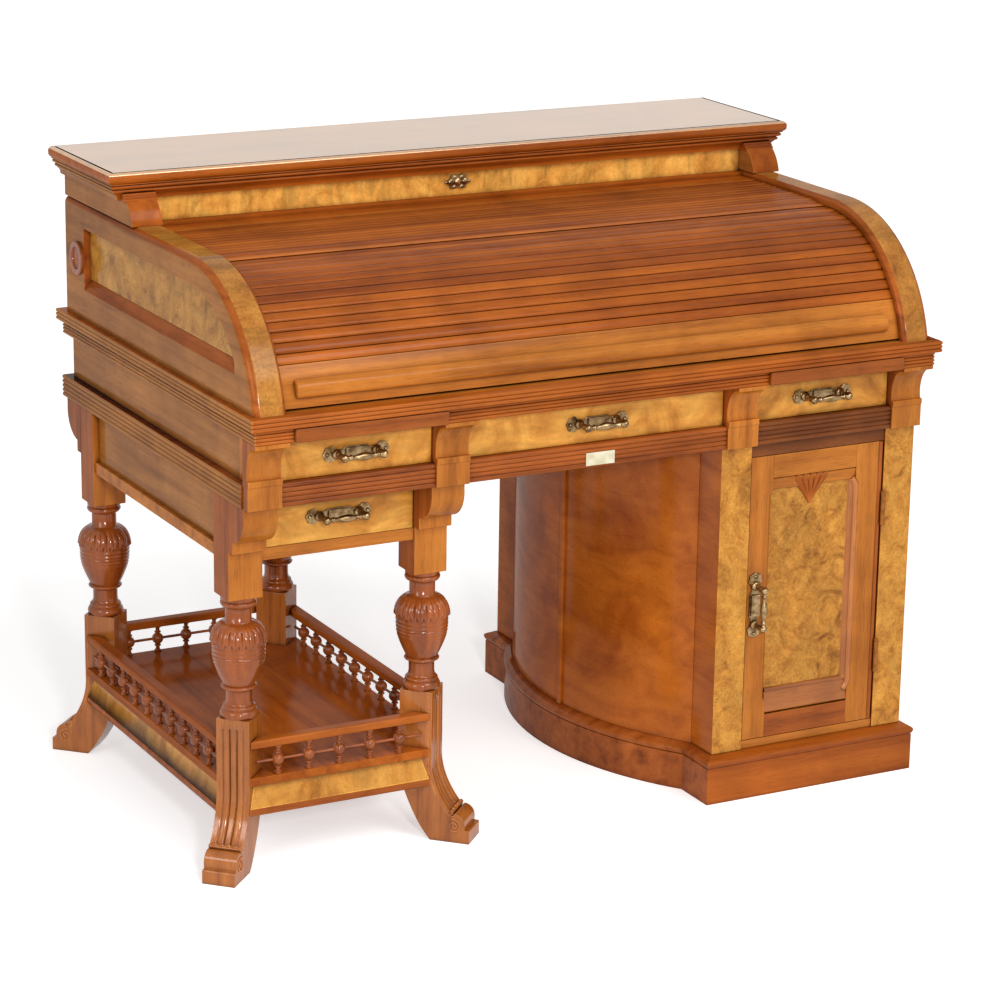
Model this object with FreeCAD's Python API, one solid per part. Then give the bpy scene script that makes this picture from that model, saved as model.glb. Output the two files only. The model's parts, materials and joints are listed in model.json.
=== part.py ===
import FreeCAD, Part
import math
import os

# Roll-top writing desk, millimetres, +Z up, front towards -Y.
# It is drawn about its own centre line X = 0, with the front nose of the writing-level
# moulding at Y = 0 and the floor at Z = 0. Every piece is then moved so that the origin
# is at the bottom centre of the whole desk.

# Running gaps
gap = 1.0
slide_gap = 0.5
seat = 0.3

# Writing level and drawer case
writing_height = 795.0
case_half_width = 622.0
case_back = 827.0
rail_front = 60.0
board = 20.0
thin_board = 12.0
dust_board = 6.0
moulding_out = 23.0
under_moulding_out = 14.0
top_edge_height = 20.0
under_moulding_height = 24.0
drawer_space = 75.0
lower_moulding_height = 39.0
lower_moulding_out = 16.0
reed_bulge = 2.0
top_reeds = 3
under_reeds = 4
lower_reeds = 5
leather = 1.2
leather_margin = 60.0

# Corbels under the writing level
corbel_width = 60.0
corner_out = 13.0
bay_width = 271.0
corbel_cap_out = 50.0
corbel_cap_height = 7.0
corbel_shaft_out = 16.0
corbel_cove_height = 40.0
corbel_fillet = 10.0
corbel_fillet_out = 22.0
corbel_block_out = 20.0

# Pull-out writing slides
slide_length = 420.0
slide_edge = 22.0
slide_runner_lap = 6.0

# Drawers
drawer_proud = 2.0
front_thickness = 20.0
drawer_side = 12.0
drawer_bottom = 6.0
drawer_length = 560.0
drawer_wall = 56.0
drawer_play = 2.0

# Brass handles
handle_length = 118.0
handle_end_radius = 13.0
handle_middle_width = 42.0
handle_middle_height = 21.0
handle_strap = 13.0
handle_plate = 3.0
handle_bar_length = 84.0
handle_bar_radius = 3.4
handle_swell = 5.6
handle_ball = 6.5
handle_post = 4.0
handle_stand = 33.0

# Roll case
roll_centre_y = 268.0
roll_drop = 51.0
roll_radius = 256.0
roll_end_out = 10.0
roll_end_thickness = 55.0
roll_top_board = 5.0
roll_top_lap = 12.0
roll_back = 16.0
field_depth = 8.0
field_thickness = 4.0
field_margin = 44.0
field_bottom = 71.0
field_bevel = 19.0
field_rear_inset = 120.0
roundel_inset = 62.0
roundel_level = 105.0
roundel_radius = 29.0
roundel_thickness = 4.0
roundel_dish = 2.5
roundel_rim = 6.0
roundel_eye = 3.0

# Tambour curtain
curtain_lip = 16.0
slat_depth = 11.0
slat_pitch_deg = 4.55
slat_count = 15
slat_gap_deg = 0.1
slat_edge_drop = 3.0
lift_rail_deg = 16.6
bead_low_deg = 3.6
bead_high_deg = 10.6
bead_out = 13.0
bead_end_gap = 24.0
groove_depth = 10.0
groove_gap = 0.6
canvas = 1.2

# Stationery rack
rack_front_gap = 32.0
rack_depth = 130.0
rack_height = 95.0
rack_end_gap = 37.0
rack_board = 6.0
rack_bays = 7

# Frieze and cornice
top_depth = 257.0
frieze_thickness = 18.0
frieze_end_out = 24.0
frieze_flare = 30.0
frieze_fillet = 15.0
frieze_height = 43.0
cornice_height = 24.5
cornice_out = 24.0
cornice_foot = 4.0
top_board = 19.0
top_board_out = 5.0
escutcheon_half = 24.0
escutcheon_boss = 13.0
escutcheon_thickness = 3.0
keyhole = 2.5
lock_width = 70.0
lock_height = 30.0
lock_depth = 12.0

# Left pedestal
front_post_y = 148.0
rear_post_inset = 89.0
post_height = 170.0
bracket_out = 61.0
bracket_lip = 12.0
bracket_height = 67.0
bracket_fillet = 20.0
bracket_fillet_out = 16.0
pedestal_rail_drop = 109.0
pedestal_rail = 20.0
pedestal_inset = 4.0
panel_recess = 8.0
low_drawer_recess = 5.0
low_drawer_back_gap = 121.0
low_drawer_top_gap = 5.0

# Turned balusters and splayed legs
urn_belly = 44.0
urn_neck = 21.5
urn_ring = 30.0
block_top = 262.0
block = 57.0
foot_spring = 150.0
instep_reach = 64.0
instep_height = 52.0
toe_reach = 96.0
toe_height = 24.0
toe_length = 8.0
heel_reach = 27.0
heel_spring = 110.0

# Gallery shelf
gallery_rail_top = 226.0
gallery_rail_height = 14.0
gallery_rail_width = 22.0
gallery_inset = 2.0
shelf_top = 163.0
shelf_thickness = 14.0
apron_height = 40.0
apron_cant = 12.0
apron_thickness = 12.0
apron_bead = 12.0
apron_bead_bulge = 1.5
spindle_ball = 10.5
spindle_neck = 4.0
spindle_rod = 2.5
side_spindles = 10
end_spindles = 5

# Right pedestal
plinth_height = 85.0
plinth_face = 66.0
plinth_nose = 76.0
plinth_out = 16.0
plinth_nose_out = 20.0
plinth_top_out = 3.0
plinth_wall = 8.0
cupboard_proud = 3.0
cupboard_back_inset = 15.0
corner_post_depth = 70.0
rear_post_width = 82.0
rear_post_depth = 67.0
bow_out = 98.0
bow_board = 14.0
bow_bead_reach = 343.0
bow_bead = 10.0
bow_bead_out = 5.0
panel_board = 14.0
side_inset = 6.0
cupboard_board = 14.0
cupboard_shelf = 350.0
shelf_bearer = 18.0

# Cupboard door
door_recess = 3.0
door_thickness = 22.0
door_sill = 15.0
door_head = 25.0
door_stile = 53.0
door_rail = 41.0
door_field = 8.0
fan_width = 66.0
fan_height = 54.0
fan_thickness = 7.0
door_handle_inset = 15.0
door_handle_level = 262.0
hinge_length = 60.0
hinge_radius = 4.0
hinge_pin = 1.8
hinge_pin_fit = 0.05
hinge_leaf = 0.8
hinge_play = 0.4
hinge_leaf_depth = 22.0
hinge_inset = 90.0

# Levels and lines worked out from the sizes above
under_board = writing_height - top_edge_height
case_top = under_board - under_moulding_height
drawer_floor = case_top - drawer_space
case_bottom = drawer_floor - lower_moulding_height
half_corbel = corbel_width / 2
corner_x = case_half_width + corner_out
corbel_centre = corner_x - half_corbel
inner_corbel_centre = corbel_centre - corbel_width - bay_width
bay_outer = corbel_centre - half_corbel
bay_inner = inner_corbel_centre + half_corbel
centre_bay = inner_corbel_centre - half_corbel
slide_front = moulding_out - slide_edge
slide_inner = bay_inner - slide_runner_lap / 2
slide_outer = bay_outer - slide_runner_lap
side_inner = case_half_width - board
roll_centre_z = writing_height - roll_drop
roll_top = roll_centre_z + roll_radius
roll_end_outer = case_half_width + roll_end_out
roll_inner = roll_end_outer - roll_end_thickness
curtain_radius = roll_radius - curtain_lip
slat_half = roll_inner + groove_depth - groove_gap
slat_inner_radius = curtain_radius - slat_depth
canvas_radius = slat_inner_radius - canvas
fixed_bottom = roll_centre_z + curtain_radius + gap
fixed_top = fixed_bottom + roll_top_board
rail_deg = math.degrees(math.asin((roll_drop + seat) / canvas_radius))
frieze_front = case_back - top_depth
frieze_level = roll_top + frieze_height
cornice_top = frieze_level + cornice_height
half_post = half_corbel
rear_post_y = case_back - rear_post_inset
post_bottom = case_bottom - post_height
leg_x = (-corbel_centre, -inner_corbel_centre)
leg_y = (front_post_y, rear_post_y)
leg_places = (
    (leg_x[0], leg_y[0], 135),
    (leg_x[1], leg_y[0], 225),
    (leg_x[0], leg_y[1], 45),
    (leg_x[1], leg_y[1], 315),
)
half_block = block / 2
block_corner = block * math.sqrt(0.5)
foot_corner = (toe_reach + half_block) * math.sqrt(0.5)
desk_left = -corbel_centre - foot_corner
desk_right = roll_end_outer + cornice_out + top_board_out
desk_rear = case_back + moulding_out
centre = FreeCAD.Vector((desk_left + desk_right) / 2, desk_rear / 2, 0)

nodes = {}


def vec(x, y, z):
    """A point or direction."""
    return FreeCAD.Vector(x, y, z)


def add(name, *shapes):
    """Put solids in a named node."""
    nodes.setdefault(name, []).extend(shapes)


def box(x0, x1, y0, y1, z0, z1):
    """A board between two corners."""
    return Part.makeBox(x1 - x0, y1 - y0, z1 - z0, vec(x0, y0, z0))


def face_of(points, place):
    """A flat face from an outline: a pair is a corner, two pairs are an arc's middle and end."""
    edges = []
    here = place(*points[0])
    for item in list(points[1:]) + [points[0]]:
        is_arc = isinstance(item[0], tuple)
        there = place(*item[1]) if is_arc else place(*item)
        if is_arc:
            edges.append(Part.Arc(here, place(*item[0]), there).toShape())
        elif not there.isEqual(here, 1e-6):
            edges.append(Part.LineSegment(here, there).toShape())
        here = there
    return Part.Face(Part.Wire(edges))


def along_x(points, x0, x1):
    """An outline in Y and Z drawn out along X."""
    return face_of(points, lambda y, z: vec(x0, y, z)).extrude(vec(x1 - x0, 0, 0))


def along_y(points, y0, y1):
    """An outline in X and Z drawn back along Y."""
    return face_of(points, lambda x, z: vec(x, y0, z)).extrude(vec(0, y1 - y0, 0))


def along_z(points, z0, z1):
    """An outline in X and Y drawn up along Z."""
    return face_of(points, lambda x, y: vec(x, y, z0)).extrude(vec(0, 0, z1 - z0))


def turned(points):
    """A solid turned about the Z axis, from (radius, height) points."""
    return face_of(points, lambda r, z: vec(r, 0, z)).revolve(vec(0, 0, 0), vec(0, 0, 1), 360)


def placed(shape, turn, x, y, z):
    """A copy turned about Z and then moved."""
    copy = shape.copy()
    copy.rotate(vec(0, 0, 0), vec(0, 0, 1), turn)
    copy.translate(vec(x, y, z))
    return copy


def other_side(shape):
    """The same piece across the centre line."""
    return shape.mirror(vec(0, 0, 0), vec(1, 0, 0))


def both_sides(name, *shapes):
    """Pieces on the right, and their likes on the left, in one node."""
    for shape in shapes:
        add(name, shape, other_side(shape))


def reeds(out, count, height):
    """A moulding section of equal reeds, down from its top at 0, on a wall at 0."""
    pitch = height / count
    points = [(0, 0), (-out + reed_bulge, 0)]
    for index in range(count):
        top = -index * pitch
        points.append(((-out, top - pitch / 2), (-out + reed_bulge, top - pitch)))
    points.append((0, -height))
    return points


def moulding(section, out, height, length, mitre_start, mitre_end):
    """A length of moulding along X with its wall at Y = 0 and its top at Z = 0."""
    start = -out if mitre_start else 0.0
    end = length + out if mitre_end else length
    solid = along_x(section, start, end)
    if mitre_start:
        solid = solid.cut(along_z([(0, 0), (-out, 0), (-out, -out)], -height, 0))
    if mitre_end:
        solid = solid.cut(along_z([(length, 0), (length + out, 0), (length + out, -out)], -height, 0))
    return solid


# Writing board, its leather and the mouldings round it

writing_width = 2 * case_half_width
writing_depth = case_back - moulding_out
add("writing_board", box(-case_half_width, case_half_width, moulding_out, case_back,
                         under_board, writing_height))

leather_half = roll_inner - leather_margin
leather_front = moulding_out + leather_margin
add("writing_leather", box(-leather_half, leather_half, leather_front, roll_centre_y,
                           writing_height, writing_height + leather))


def round_the_case(section, out, height, top, front):
    """Moulding on both sides and the back of the case, and along the front if asked."""
    across = moulding(section, out, height, writing_width, True, True)
    beside = moulding(section, out, height, writing_depth, True, True)
    runs = [placed(across, 180, case_half_width, case_back, top)]
    runs.append(placed(beside, 90, case_half_width, moulding_out, top))
    runs.append(placed(beside, 270, -case_half_width, case_back, top))
    if front:
        runs.append(placed(across, 0, -case_half_width, moulding_out, top))
    return runs


top_section = reeds(moulding_out, top_reeds, top_edge_height)
add("writing_moulding", *round_the_case(top_section, moulding_out, top_edge_height, writing_height, True))

under_section = reeds(under_moulding_out, under_reeds, under_moulding_height)
add("writing_moulding", *round_the_case(under_section, under_moulding_out, under_moulding_height,
                                        under_board, False))
corner_length = case_half_width - slide_outer
corner_run = moulding(under_section, under_moulding_out, under_moulding_height, corner_length, False, True)
both_sides("writing_moulding", placed(corner_run, 0, slide_outer, moulding_out, under_board))
middle_length = 2 * slide_inner
middle_run = moulding(under_section, under_moulding_out, under_moulding_height, middle_length, False, False)
add("writing_moulding", placed(middle_run, 0, -slide_inner, moulding_out, under_board))

# Drawer case under the writing board

both_sides("case_frame", box(side_inner, case_half_width, rail_front, case_back, case_bottom, case_top))
add("case_frame", box(-side_inner, side_inner, case_back - board, case_back, case_bottom, case_top))

back_inner = case_back - board
both_sides("slide_runners", box(slide_outer, case_half_width, moulding_out, back_inner,
                                case_top, under_board))
both_sides("slide_runners", box(centre_bay, slide_inner, moulding_out, back_inner, case_top, under_board))
add("slide_runners", box(-centre_bay, centre_bay, moulding_out, rail_front, case_top, under_board))
add("slide_runners", box(-case_half_width, case_half_width, back_inner, case_back, case_top, under_board))

rail_back = rail_front + board
add("case_frame", box(-side_inner, side_inner, rail_front, rail_back, case_bottom, drawer_floor))
both_sides("case_frame", box(centre_bay, bay_inner, rail_back, back_inner, case_bottom, drawer_floor))

divider_inner = inner_corbel_centre - board / 2
divider_outer = inner_corbel_centre + board / 2
floor_bottom = drawer_floor - thin_board
dust_bottom = case_top - dust_board
both_sides("case_boards", box(divider_inner, divider_outer, rail_front, back_inner, drawer_floor, case_top))
both_sides("case_boards", box(bay_inner, side_inner, rail_back, back_inner, floor_bottom, drawer_floor))
both_sides("case_boards", box(divider_outer, side_inner, rail_front, back_inner, dust_bottom, case_top))
add("case_boards", box(-centre_bay, centre_bay, rail_back, back_inner, floor_bottom, drawer_floor))

# Upper corbels: a cap, a cove, a fillet and a plain block

cap_y = rail_front - corbel_cap_out
shaft_y = rail_front - corbel_shaft_out
fillet_y = rail_front - corbel_fillet_out
block_y = rail_front - corbel_block_out
cove_top = case_top - corbel_cap_height
cove_bottom = cove_top - corbel_cove_height
cove_start = cap_y + corbel_cap_height / 2
cove_middle = (cove_start + 0.75 * (shaft_y - cove_start), cove_top - 0.25 * corbel_cove_height)
corbel_outline = [
    (rail_front, case_top),
    (cap_y, case_top),
    (cap_y, cove_top),
    (cove_start, cove_top),
    (cove_middle, (shaft_y, cove_bottom)),
    (shaft_y, drawer_floor + corbel_fillet),
    (fillet_y, drawer_floor + corbel_fillet),
    (fillet_y, drawer_floor),
    (block_y, drawer_floor),
    (block_y, case_bottom),
    (rail_front, case_bottom),
]
for corbel_x in (corbel_centre, inner_corbel_centre):
    both_sides("upper_corbels", along_x(corbel_outline, corbel_x - half_corbel, corbel_x + half_corbel))

# Lower moulding, between the corbel blocks and round the case

lower_section = reeds(lower_moulding_out, lower_reeds, lower_moulding_height)


def lower_run(length, mitre_start, mitre_end):
    """A length of the lower moulding."""
    return moulding(lower_section, lower_moulding_out, lower_moulding_height, length,
                    mitre_start, mitre_end)


lower_depth = case_back - rail_front
bay_run = lower_run(bay_outer - bay_inner, False, False)
centre_run = lower_run(2 * centre_bay, False, False)
right_run = lower_run(lower_depth, False, True)
left_run = lower_run(lower_depth, True, False)
back_run = lower_run(writing_width, True, True)
both_sides("lower_moulding", placed(bay_run, 0, bay_inner, rail_front, drawer_floor))
add("lower_moulding", placed(centre_run, 0, -centre_bay, rail_front, drawer_floor))
add("lower_moulding", placed(right_run, 90, case_half_width, rail_front, drawer_floor))
add("lower_moulding", placed(left_run, 270, -case_half_width, case_back, drawer_floor))
add("lower_moulding", placed(back_run, 180, case_half_width, case_back, drawer_floor))


# Pull-out writing slides: a board with a moulded front edge

def writing_slide():
    """The right-hand slide."""
    x0 = slide_inner + slide_gap
    x1 = slide_outer - slide_gap
    z0 = case_top + seat
    z1 = under_board - gap
    strip = box(x0, x1, slide_front, slide_front + slide_edge, z0, z1)
    leaf = box(x0, x1, slide_front + slide_edge, slide_front + slide_length, z0, z1)
    return [strip, leaf]


add("right_writing_slide", *writing_slide())
add("left_writing_slide", *[other_side(shape) for shape in writing_slide()])


# Drawers: a veneered front, a box of five boards and a brass handle

def handle():
    """A fixed handle standing on Y = 0, with its bar upright: the plate, and the bar with its posts."""
    half = handle_length / 2
    strap = box(-handle_strap / 2, handle_strap / 2, -handle_plate, 0, -half + handle_end_radius,
                half - handle_end_radius)
    middle = box(-handle_middle_height / 2, handle_middle_height / 2, -handle_plate, 0,
                 -handle_middle_width / 2, handle_middle_width / 2)
    plate = strap.fuse(middle)
    bar_half = handle_bar_length / 2
    ball_z = bar_half - handle_ball
    waist = ball_z - math.sqrt(handle_ball ** 2 - handle_bar_radius ** 2)
    swell = handle_bar_length / 6
    bar = turned([
        (0, -bar_half),
        ((handle_ball, -ball_z), (handle_bar_radius, -waist)),
        (handle_bar_radius, -swell),
        ((handle_swell, 0), (handle_bar_radius, swell)),
        (handle_bar_radius, waist),
        ((handle_ball, ball_z), (0, bar_half)),
    ])
    bar.translate(vec(0, -handle_stand, 0))
    post_length = handle_stand - handle_plate
    for end in (-1, 1):
        disc_place = vec(0, -handle_plate, end * (half - handle_end_radius))
        plate = plate.fuse(Part.makeCylinder(handle_end_radius, handle_plate, disc_place, vec(0, 1, 0)))
        post_place = vec(0, -handle_stand, end * ball_z)
        bar = bar.fuse(Part.makeCylinder(handle_post, post_length, post_place, vec(0, 1, 0)))
    return [plate.removeSplitter(), bar.removeSplitter()]


def level_handle(x, y, z):
    """A handle with its bar level, on a face at Y = y."""
    shapes = handle()
    for shape in shapes:
        shape.rotate(vec(0, 0, 0), vec(0, 1, 0), 90)
        shape.translate(vec(x, y, z))
    return shapes


def drawer(name, x0, x1, y0, z0, z1, length):
    """A drawer whose front fills the opening x0 to x1, z0 to z1, less the gaps."""
    front_back = y0 + front_thickness
    add(name + "_front", box(x0 + gap, x1 - gap, y0, front_back, z0 + seat, z1))
    left = x0 + drawer_play
    right = x1 - drawer_play
    back = y0 + length
    base = z0 + seat
    rim = base + drawer_wall
    floor = base + drawer_bottom
    add(name + "_box", box(left, right, front_back, back, base, floor))
    add(name + "_box", box(left, left + drawer_side, front_back, back, floor, rim))
    add(name + "_box", box(right - drawer_side, right, front_back, back, floor, rim))
    add(name + "_box", box(left + drawer_side, right - drawer_side, back - drawer_side, back, floor, rim))
    add(name + "_handle", *level_handle((x0 + x1) / 2, y0, (z0 + z1) / 2))


drawer_front_y = rail_front - drawer_proud
drawer_top = dust_bottom - gap
drawer("left_drawer", -bay_outer, -bay_inner, drawer_front_y, drawer_floor, drawer_top, drawer_length)
drawer("centre_drawer", -centre_bay, centre_bay, drawer_front_y, drawer_floor, drawer_top, drawer_length)
drawer("right_drawer", bay_inner, bay_outer, drawer_front_y, drawer_floor, drawer_top, drawer_length)

pedestal_rail_bottom = case_bottom - pedestal_rail_drop
low_rail_top = pedestal_rail_bottom + pedestal_rail
low_drawer_top = case_bottom - low_drawer_top_gap
low_drawer_front = front_post_y - half_post + low_drawer_recess
rear_rail = rear_post_y + half_post - pedestal_inset
low_drawer_length = rear_rail - board - low_drawer_back_gap - low_drawer_front
drawer("low_drawer", -bay_outer, -bay_inner, low_drawer_front, low_rail_top, low_drawer_top,
       low_drawer_length)

# Left pedestal: square posts with brackets, rails and panels round the low drawer

for x, y, turn in leg_places:
    add("pedestal_posts", box(x - half_post, x + half_post, y - half_post, y + half_post,
                              post_bottom, case_bottom))

bracket_bottom = case_bottom - bracket_height
bracket_outline = [
    (0, case_bottom),
    (-bracket_out, case_bottom),
    (-bracket_out, case_bottom - bracket_lip),
    ((-0.8 * bracket_out, bracket_bottom + 0.24 * bracket_height), (-bracket_fillet_out, bracket_bottom)),
    (-bracket_fillet_out, bracket_bottom - bracket_fillet),
    (0, bracket_bottom - bracket_fillet),
]
bracket = along_x(bracket_outline, -half_post, half_post)
for x in leg_x:
    add("pedestal_brackets", placed(bracket, 0, x, front_post_y - half_post, 0))
    add("pedestal_brackets", placed(bracket, 180, x, rear_post_y + half_post, 0))

panel_y0 = front_post_y + half_post
panel_y1 = rear_post_y - half_post
outer_rail = leg_x[0] - half_post + pedestal_inset
inner_rail = leg_x[1] + half_post - pedestal_inset
front_rail = front_post_y - half_post + pedestal_inset
panel_thickness = board - panel_recess
add("pedestal_rails", box(outer_rail, outer_rail + board, panel_y0, panel_y1,
                          pedestal_rail_bottom, low_rail_top))
add("pedestal_rails", box(inner_rail - board, inner_rail, panel_y0, panel_y1,
                          pedestal_rail_bottom, low_rail_top))
add("pedestal_rails", box(-bay_outer, -bay_inner, rear_rail - board, rear_rail,
                          pedestal_rail_bottom, low_rail_top))
add("pedestal_rails", box(-bay_outer, -bay_inner, front_rail, front_rail + board,
                          pedestal_rail_bottom, low_rail_top))
add("pedestal_rails", box(outer_rail + board, inner_rail - board, panel_y0, panel_y1,
                          low_rail_top - dust_board, low_rail_top))
panel_outer = outer_rail + panel_recess
panel_inner = inner_rail - panel_recess
panel_rear = rear_rail - panel_recess
add("pedestal_panels", box(panel_outer, panel_outer + panel_thickness, panel_y0, panel_y1,
                           low_rail_top, case_bottom))
add("pedestal_panels", box(panel_inner - panel_thickness, panel_inner, panel_y0, panel_y1,
                           low_rail_top, case_bottom))
add("pedestal_panels", box(-bay_outer, -bay_inner, panel_rear - panel_thickness, panel_rear,
                           low_rail_top, case_bottom))

# Turned balusters: base ring, neck, collar, urn, neck and top ring

urn_height = post_bottom - block_top


def up(share):
    """A height on the baluster, as a share of its length."""
    return block_top + share * urn_height


baluster = turned([
    (0, up(0)),
    (urn_ring, up(0)),
    ((urn_ring + 2, up(0.045)), (urn_ring - 4, up(0.09))),
    ((urn_neck + 1.5, up(0.105)), (urn_neck, up(0.14))),
    (urn_neck, up(0.225)),
    (urn_ring - 4, up(0.235)),
    ((urn_ring, up(0.252)), (urn_ring - 4, up(0.27))),
    ((urn_belly - 5, up(0.41)), (urn_belly, up(0.6))),
    ((urn_belly - 6, up(0.72)), (urn_neck + 2, up(0.79))),
    (urn_neck, up(0.8)),
    (urn_neck, up(0.91)),
    (urn_ring - 3, up(0.92)),
    ((urn_ring, up(0.945)), (urn_ring - 3, up(0.97))),
    (urn_ring - 1, up(0.975)),
    (urn_ring - 1, up(1)),
    (0, up(1)),
])
for x, y, turn in leg_places:
    add("urn_balusters", placed(baluster, 0, x, y, 0))

# Splayed legs: a square block set on the diagonal, sweeping out to a toe

toe_step = toe_reach - toe_length
leg_hollow = (half_block + 0.2 * (instep_reach - half_block), 0.5 * (foot_spring + instep_height))
leg_outline = [
    (-half_block, block_top),
    (half_block, block_top),
    (half_block, foot_spring),
    (leg_hollow, (instep_reach, instep_height)),
    (instep_reach + toe_length, instep_height),
    ((toe_step - 2, 0.75 * instep_height), (toe_step, toe_height)),
    (toe_reach, toe_height),
    (toe_reach, 0),
    (heel_reach, 0),
    ((-0.08 * half_block, 0.4 * heel_spring), (-half_block, heel_spring)),
]
leg = along_x(leg_outline, -half_block, half_block)
for x, y, turn in leg_places:
    add("splayed_legs", placed(leg, turn, x, y, 0))

# Gallery: each side lies between the slanting faces of two leg blocks

gallery_width = leg_x[1] - leg_x[0]
gallery_depth = leg_y[1] - leg_y[0]
gallery_sides = (
    (gallery_width, 0, leg_x[0], leg_y[0] - block_corner, end_spindles),
    (gallery_depth, 90, leg_x[1] + block_corner, leg_y[0], side_spindles),
    (gallery_width, 180, leg_x[1], leg_y[1] + block_corner, end_spindles),
    (gallery_depth, 270, leg_x[0] - block_corner, leg_y[1], side_spindles),
)
shelf_bottom = shelf_top - shelf_thickness
apron_bottom = shelf_bottom - apron_height
rail_bottom = gallery_rail_top - gallery_rail_height
rail_middle = gallery_inset + gallery_rail_width / 2
apron_top = gallery_inset + apron_cant


def between_blocks(section, length):
    """A strip along X drawn from its (depth, height) section and cut to the block faces."""
    solid = along_x(section, 0, length)
    low = solid.BoundBox.ZMin
    high = solid.BoundBox.ZMax
    solid = solid.cut(along_z([(0, 0), (block_corner, block_corner), (0, block_corner)], low, high))
    far = [(length, 0), (length, block_corner), (length - block_corner, block_corner)]
    return solid.cut(along_z(far, low, high))


def spindle_row(length, count):
    """A row of ball spindles linked by a thin rod, standing on the shelf."""
    middle = (shelf_top + rail_bottom) / 2
    shoulder = math.sqrt(spindle_ball ** 2 - spindle_neck ** 2)
    spindle = turned([
        (0, shelf_top),
        (spindle_neck + 2, shelf_top),
        (spindle_neck, shelf_top + spindle_neck),
        (spindle_neck, middle - shoulder),
        ((spindle_ball, middle), (spindle_neck, middle + shoulder)),
        (spindle_neck, rail_bottom - spindle_neck),
        (spindle_neck + 2, rail_bottom),
        (0, rail_bottom),
    ])
    pitch = length / (count + 1)
    rod_start = rail_middle + 2 * spindle_rod
    rod_length = length - 2 * rod_start
    row = Part.makeCylinder(spindle_rod, rod_length, vec(rod_start, rail_middle, middle), vec(1, 0, 0))
    for index in range(count):
        row = row.fuse(placed(spindle, 0, (index + 1) * pitch, rail_middle, 0))
    return row


rail_section = [
    (gallery_inset, rail_bottom),
    (gallery_inset, gallery_rail_top),
    (gallery_inset + gallery_rail_width, gallery_rail_top),
    (gallery_inset + gallery_rail_width, rail_bottom),
]
apron_section = [
    (apron_top, shelf_bottom),
    (gallery_inset, apron_bottom),
    (gallery_inset + apron_thickness, apron_bottom),
    (apron_top + apron_thickness, shelf_bottom),
]
bead_nose = (gallery_inset - apron_bead_bulge, apron_bottom - apron_bead / 2)
bead_section = [
    (gallery_inset + apron_thickness, apron_bottom),
    (gallery_inset, apron_bottom),
    (bead_nose, (gallery_inset, apron_bottom - apron_bead)),
    (gallery_inset + apron_thickness, apron_bottom - apron_bead),
]
for length, turn, x, y, count in gallery_sides:
    add("gallery_rails", placed(between_blocks(rail_section, length), turn, x, y, 0))
    add("gallery_spindles", placed(spindle_row(length, count), turn, x, y, 0))
    add("gallery_aprons", placed(between_blocks(apron_section, length), turn, x, y, 0))
    add("gallery_aprons", placed(between_blocks(bead_section, length), turn, x, y, 0))

shelf_reach = block_corner - gallery_inset
shelf = box(leg_x[0] - shelf_reach, leg_x[1] + shelf_reach, leg_y[0] - shelf_reach, leg_y[1] + shelf_reach,
            shelf_bottom, shelf_top)
notch = box(-half_block, half_block, -half_block, 2 * block, shelf_bottom, shelf_top)
for x, y, turn in leg_places:
    shelf = shelf.cut(placed(notch, turn, x, y, 0))
add("gallery_shelf", shelf)

# Right pedestal: its plan has a bowed side towards the kneehole

cupboard_front = rail_front - cupboard_proud
cupboard_back = case_back - cupboard_back_inset
bow_split = cupboard_front + bow_bead_reach
bow_y0 = cupboard_front + corner_post_depth
bow_y1 = cupboard_back - rear_post_depth
rear_x = bay_inner - rear_post_width
bow_x = (centre_bay + rear_x) / 2 - bow_out
bow_y = (bow_y0 + bow_y1) / 2


def plan(out):
    """The pedestal's outline in X and Y, moved outwards."""
    return [
        (centre_bay - out, cupboard_front - out),
        (corner_x + out, cupboard_front - out),
        (corner_x + out, cupboard_back + out),
        (rear_x - out, cupboard_back + out),
        (rear_x - out, bow_y1),
        ((bow_x - out, bow_y), (centre_bay - out, bow_y0)),
    ]


def plan_wire(out, z):
    """The outline as a wire at a height."""
    return face_of(plan(out), lambda x, y: vec(x, y, z)).OuterWire


plinth_body = along_z(plan(plinth_out), 0, plinth_face)
face_wire = plan_wire(plinth_out, plinth_face)
nose_wire = plan_wire(plinth_nose_out, plinth_nose)
top_wire = plan_wire(plinth_top_out, plinth_height)
plinth_swell = Part.makeLoft([face_wire, nose_wire], True, True)
plinth_slope = Part.makeLoft([nose_wire, top_wire], True, True)
plinth_hollow = along_z(plan(-plinth_wall), 0, plinth_height)
add("plinth", plinth_body.fuse([plinth_swell, plinth_slope]).cut(plinth_hollow).removeSplitter())

add("corner_posts", box(centre_bay, bay_inner, cupboard_front, bow_y0, plinth_height, case_bottom))
add("corner_posts", box(bay_outer, corner_x, cupboard_front, bow_y0, plinth_height, case_bottom))
add("corner_posts", box(rear_x, bay_inner, bow_y1, cupboard_back, plinth_height, case_bottom))
add("corner_posts", box(bay_outer, corner_x, bow_y1, cupboard_back, plinth_height, case_bottom))


def bowed_wall(out, y0, y1):
    """The bowed side between two lines across it, moved outwards."""
    wall = along_z([
        (centre_bay - out, bow_y0),
        ((bow_x - out, bow_y), (rear_x - out, bow_y1)),
        (rear_x + bow_board, bow_y1),
        ((bow_x + bow_board, bow_y), (centre_bay + bow_board, bow_y0)),
    ], plinth_height, case_bottom)
    return wall.common(box(bow_x - bow_board, corner_x, y0, y1, plinth_height, case_bottom))


add("bowed_side", bowed_wall(0, bow_y0, bow_split), bowed_wall(0, bow_split + bow_bead, bow_y1))
add("bowed_side", bowed_wall(bow_bead_out, bow_split, bow_split + bow_bead))

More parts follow.
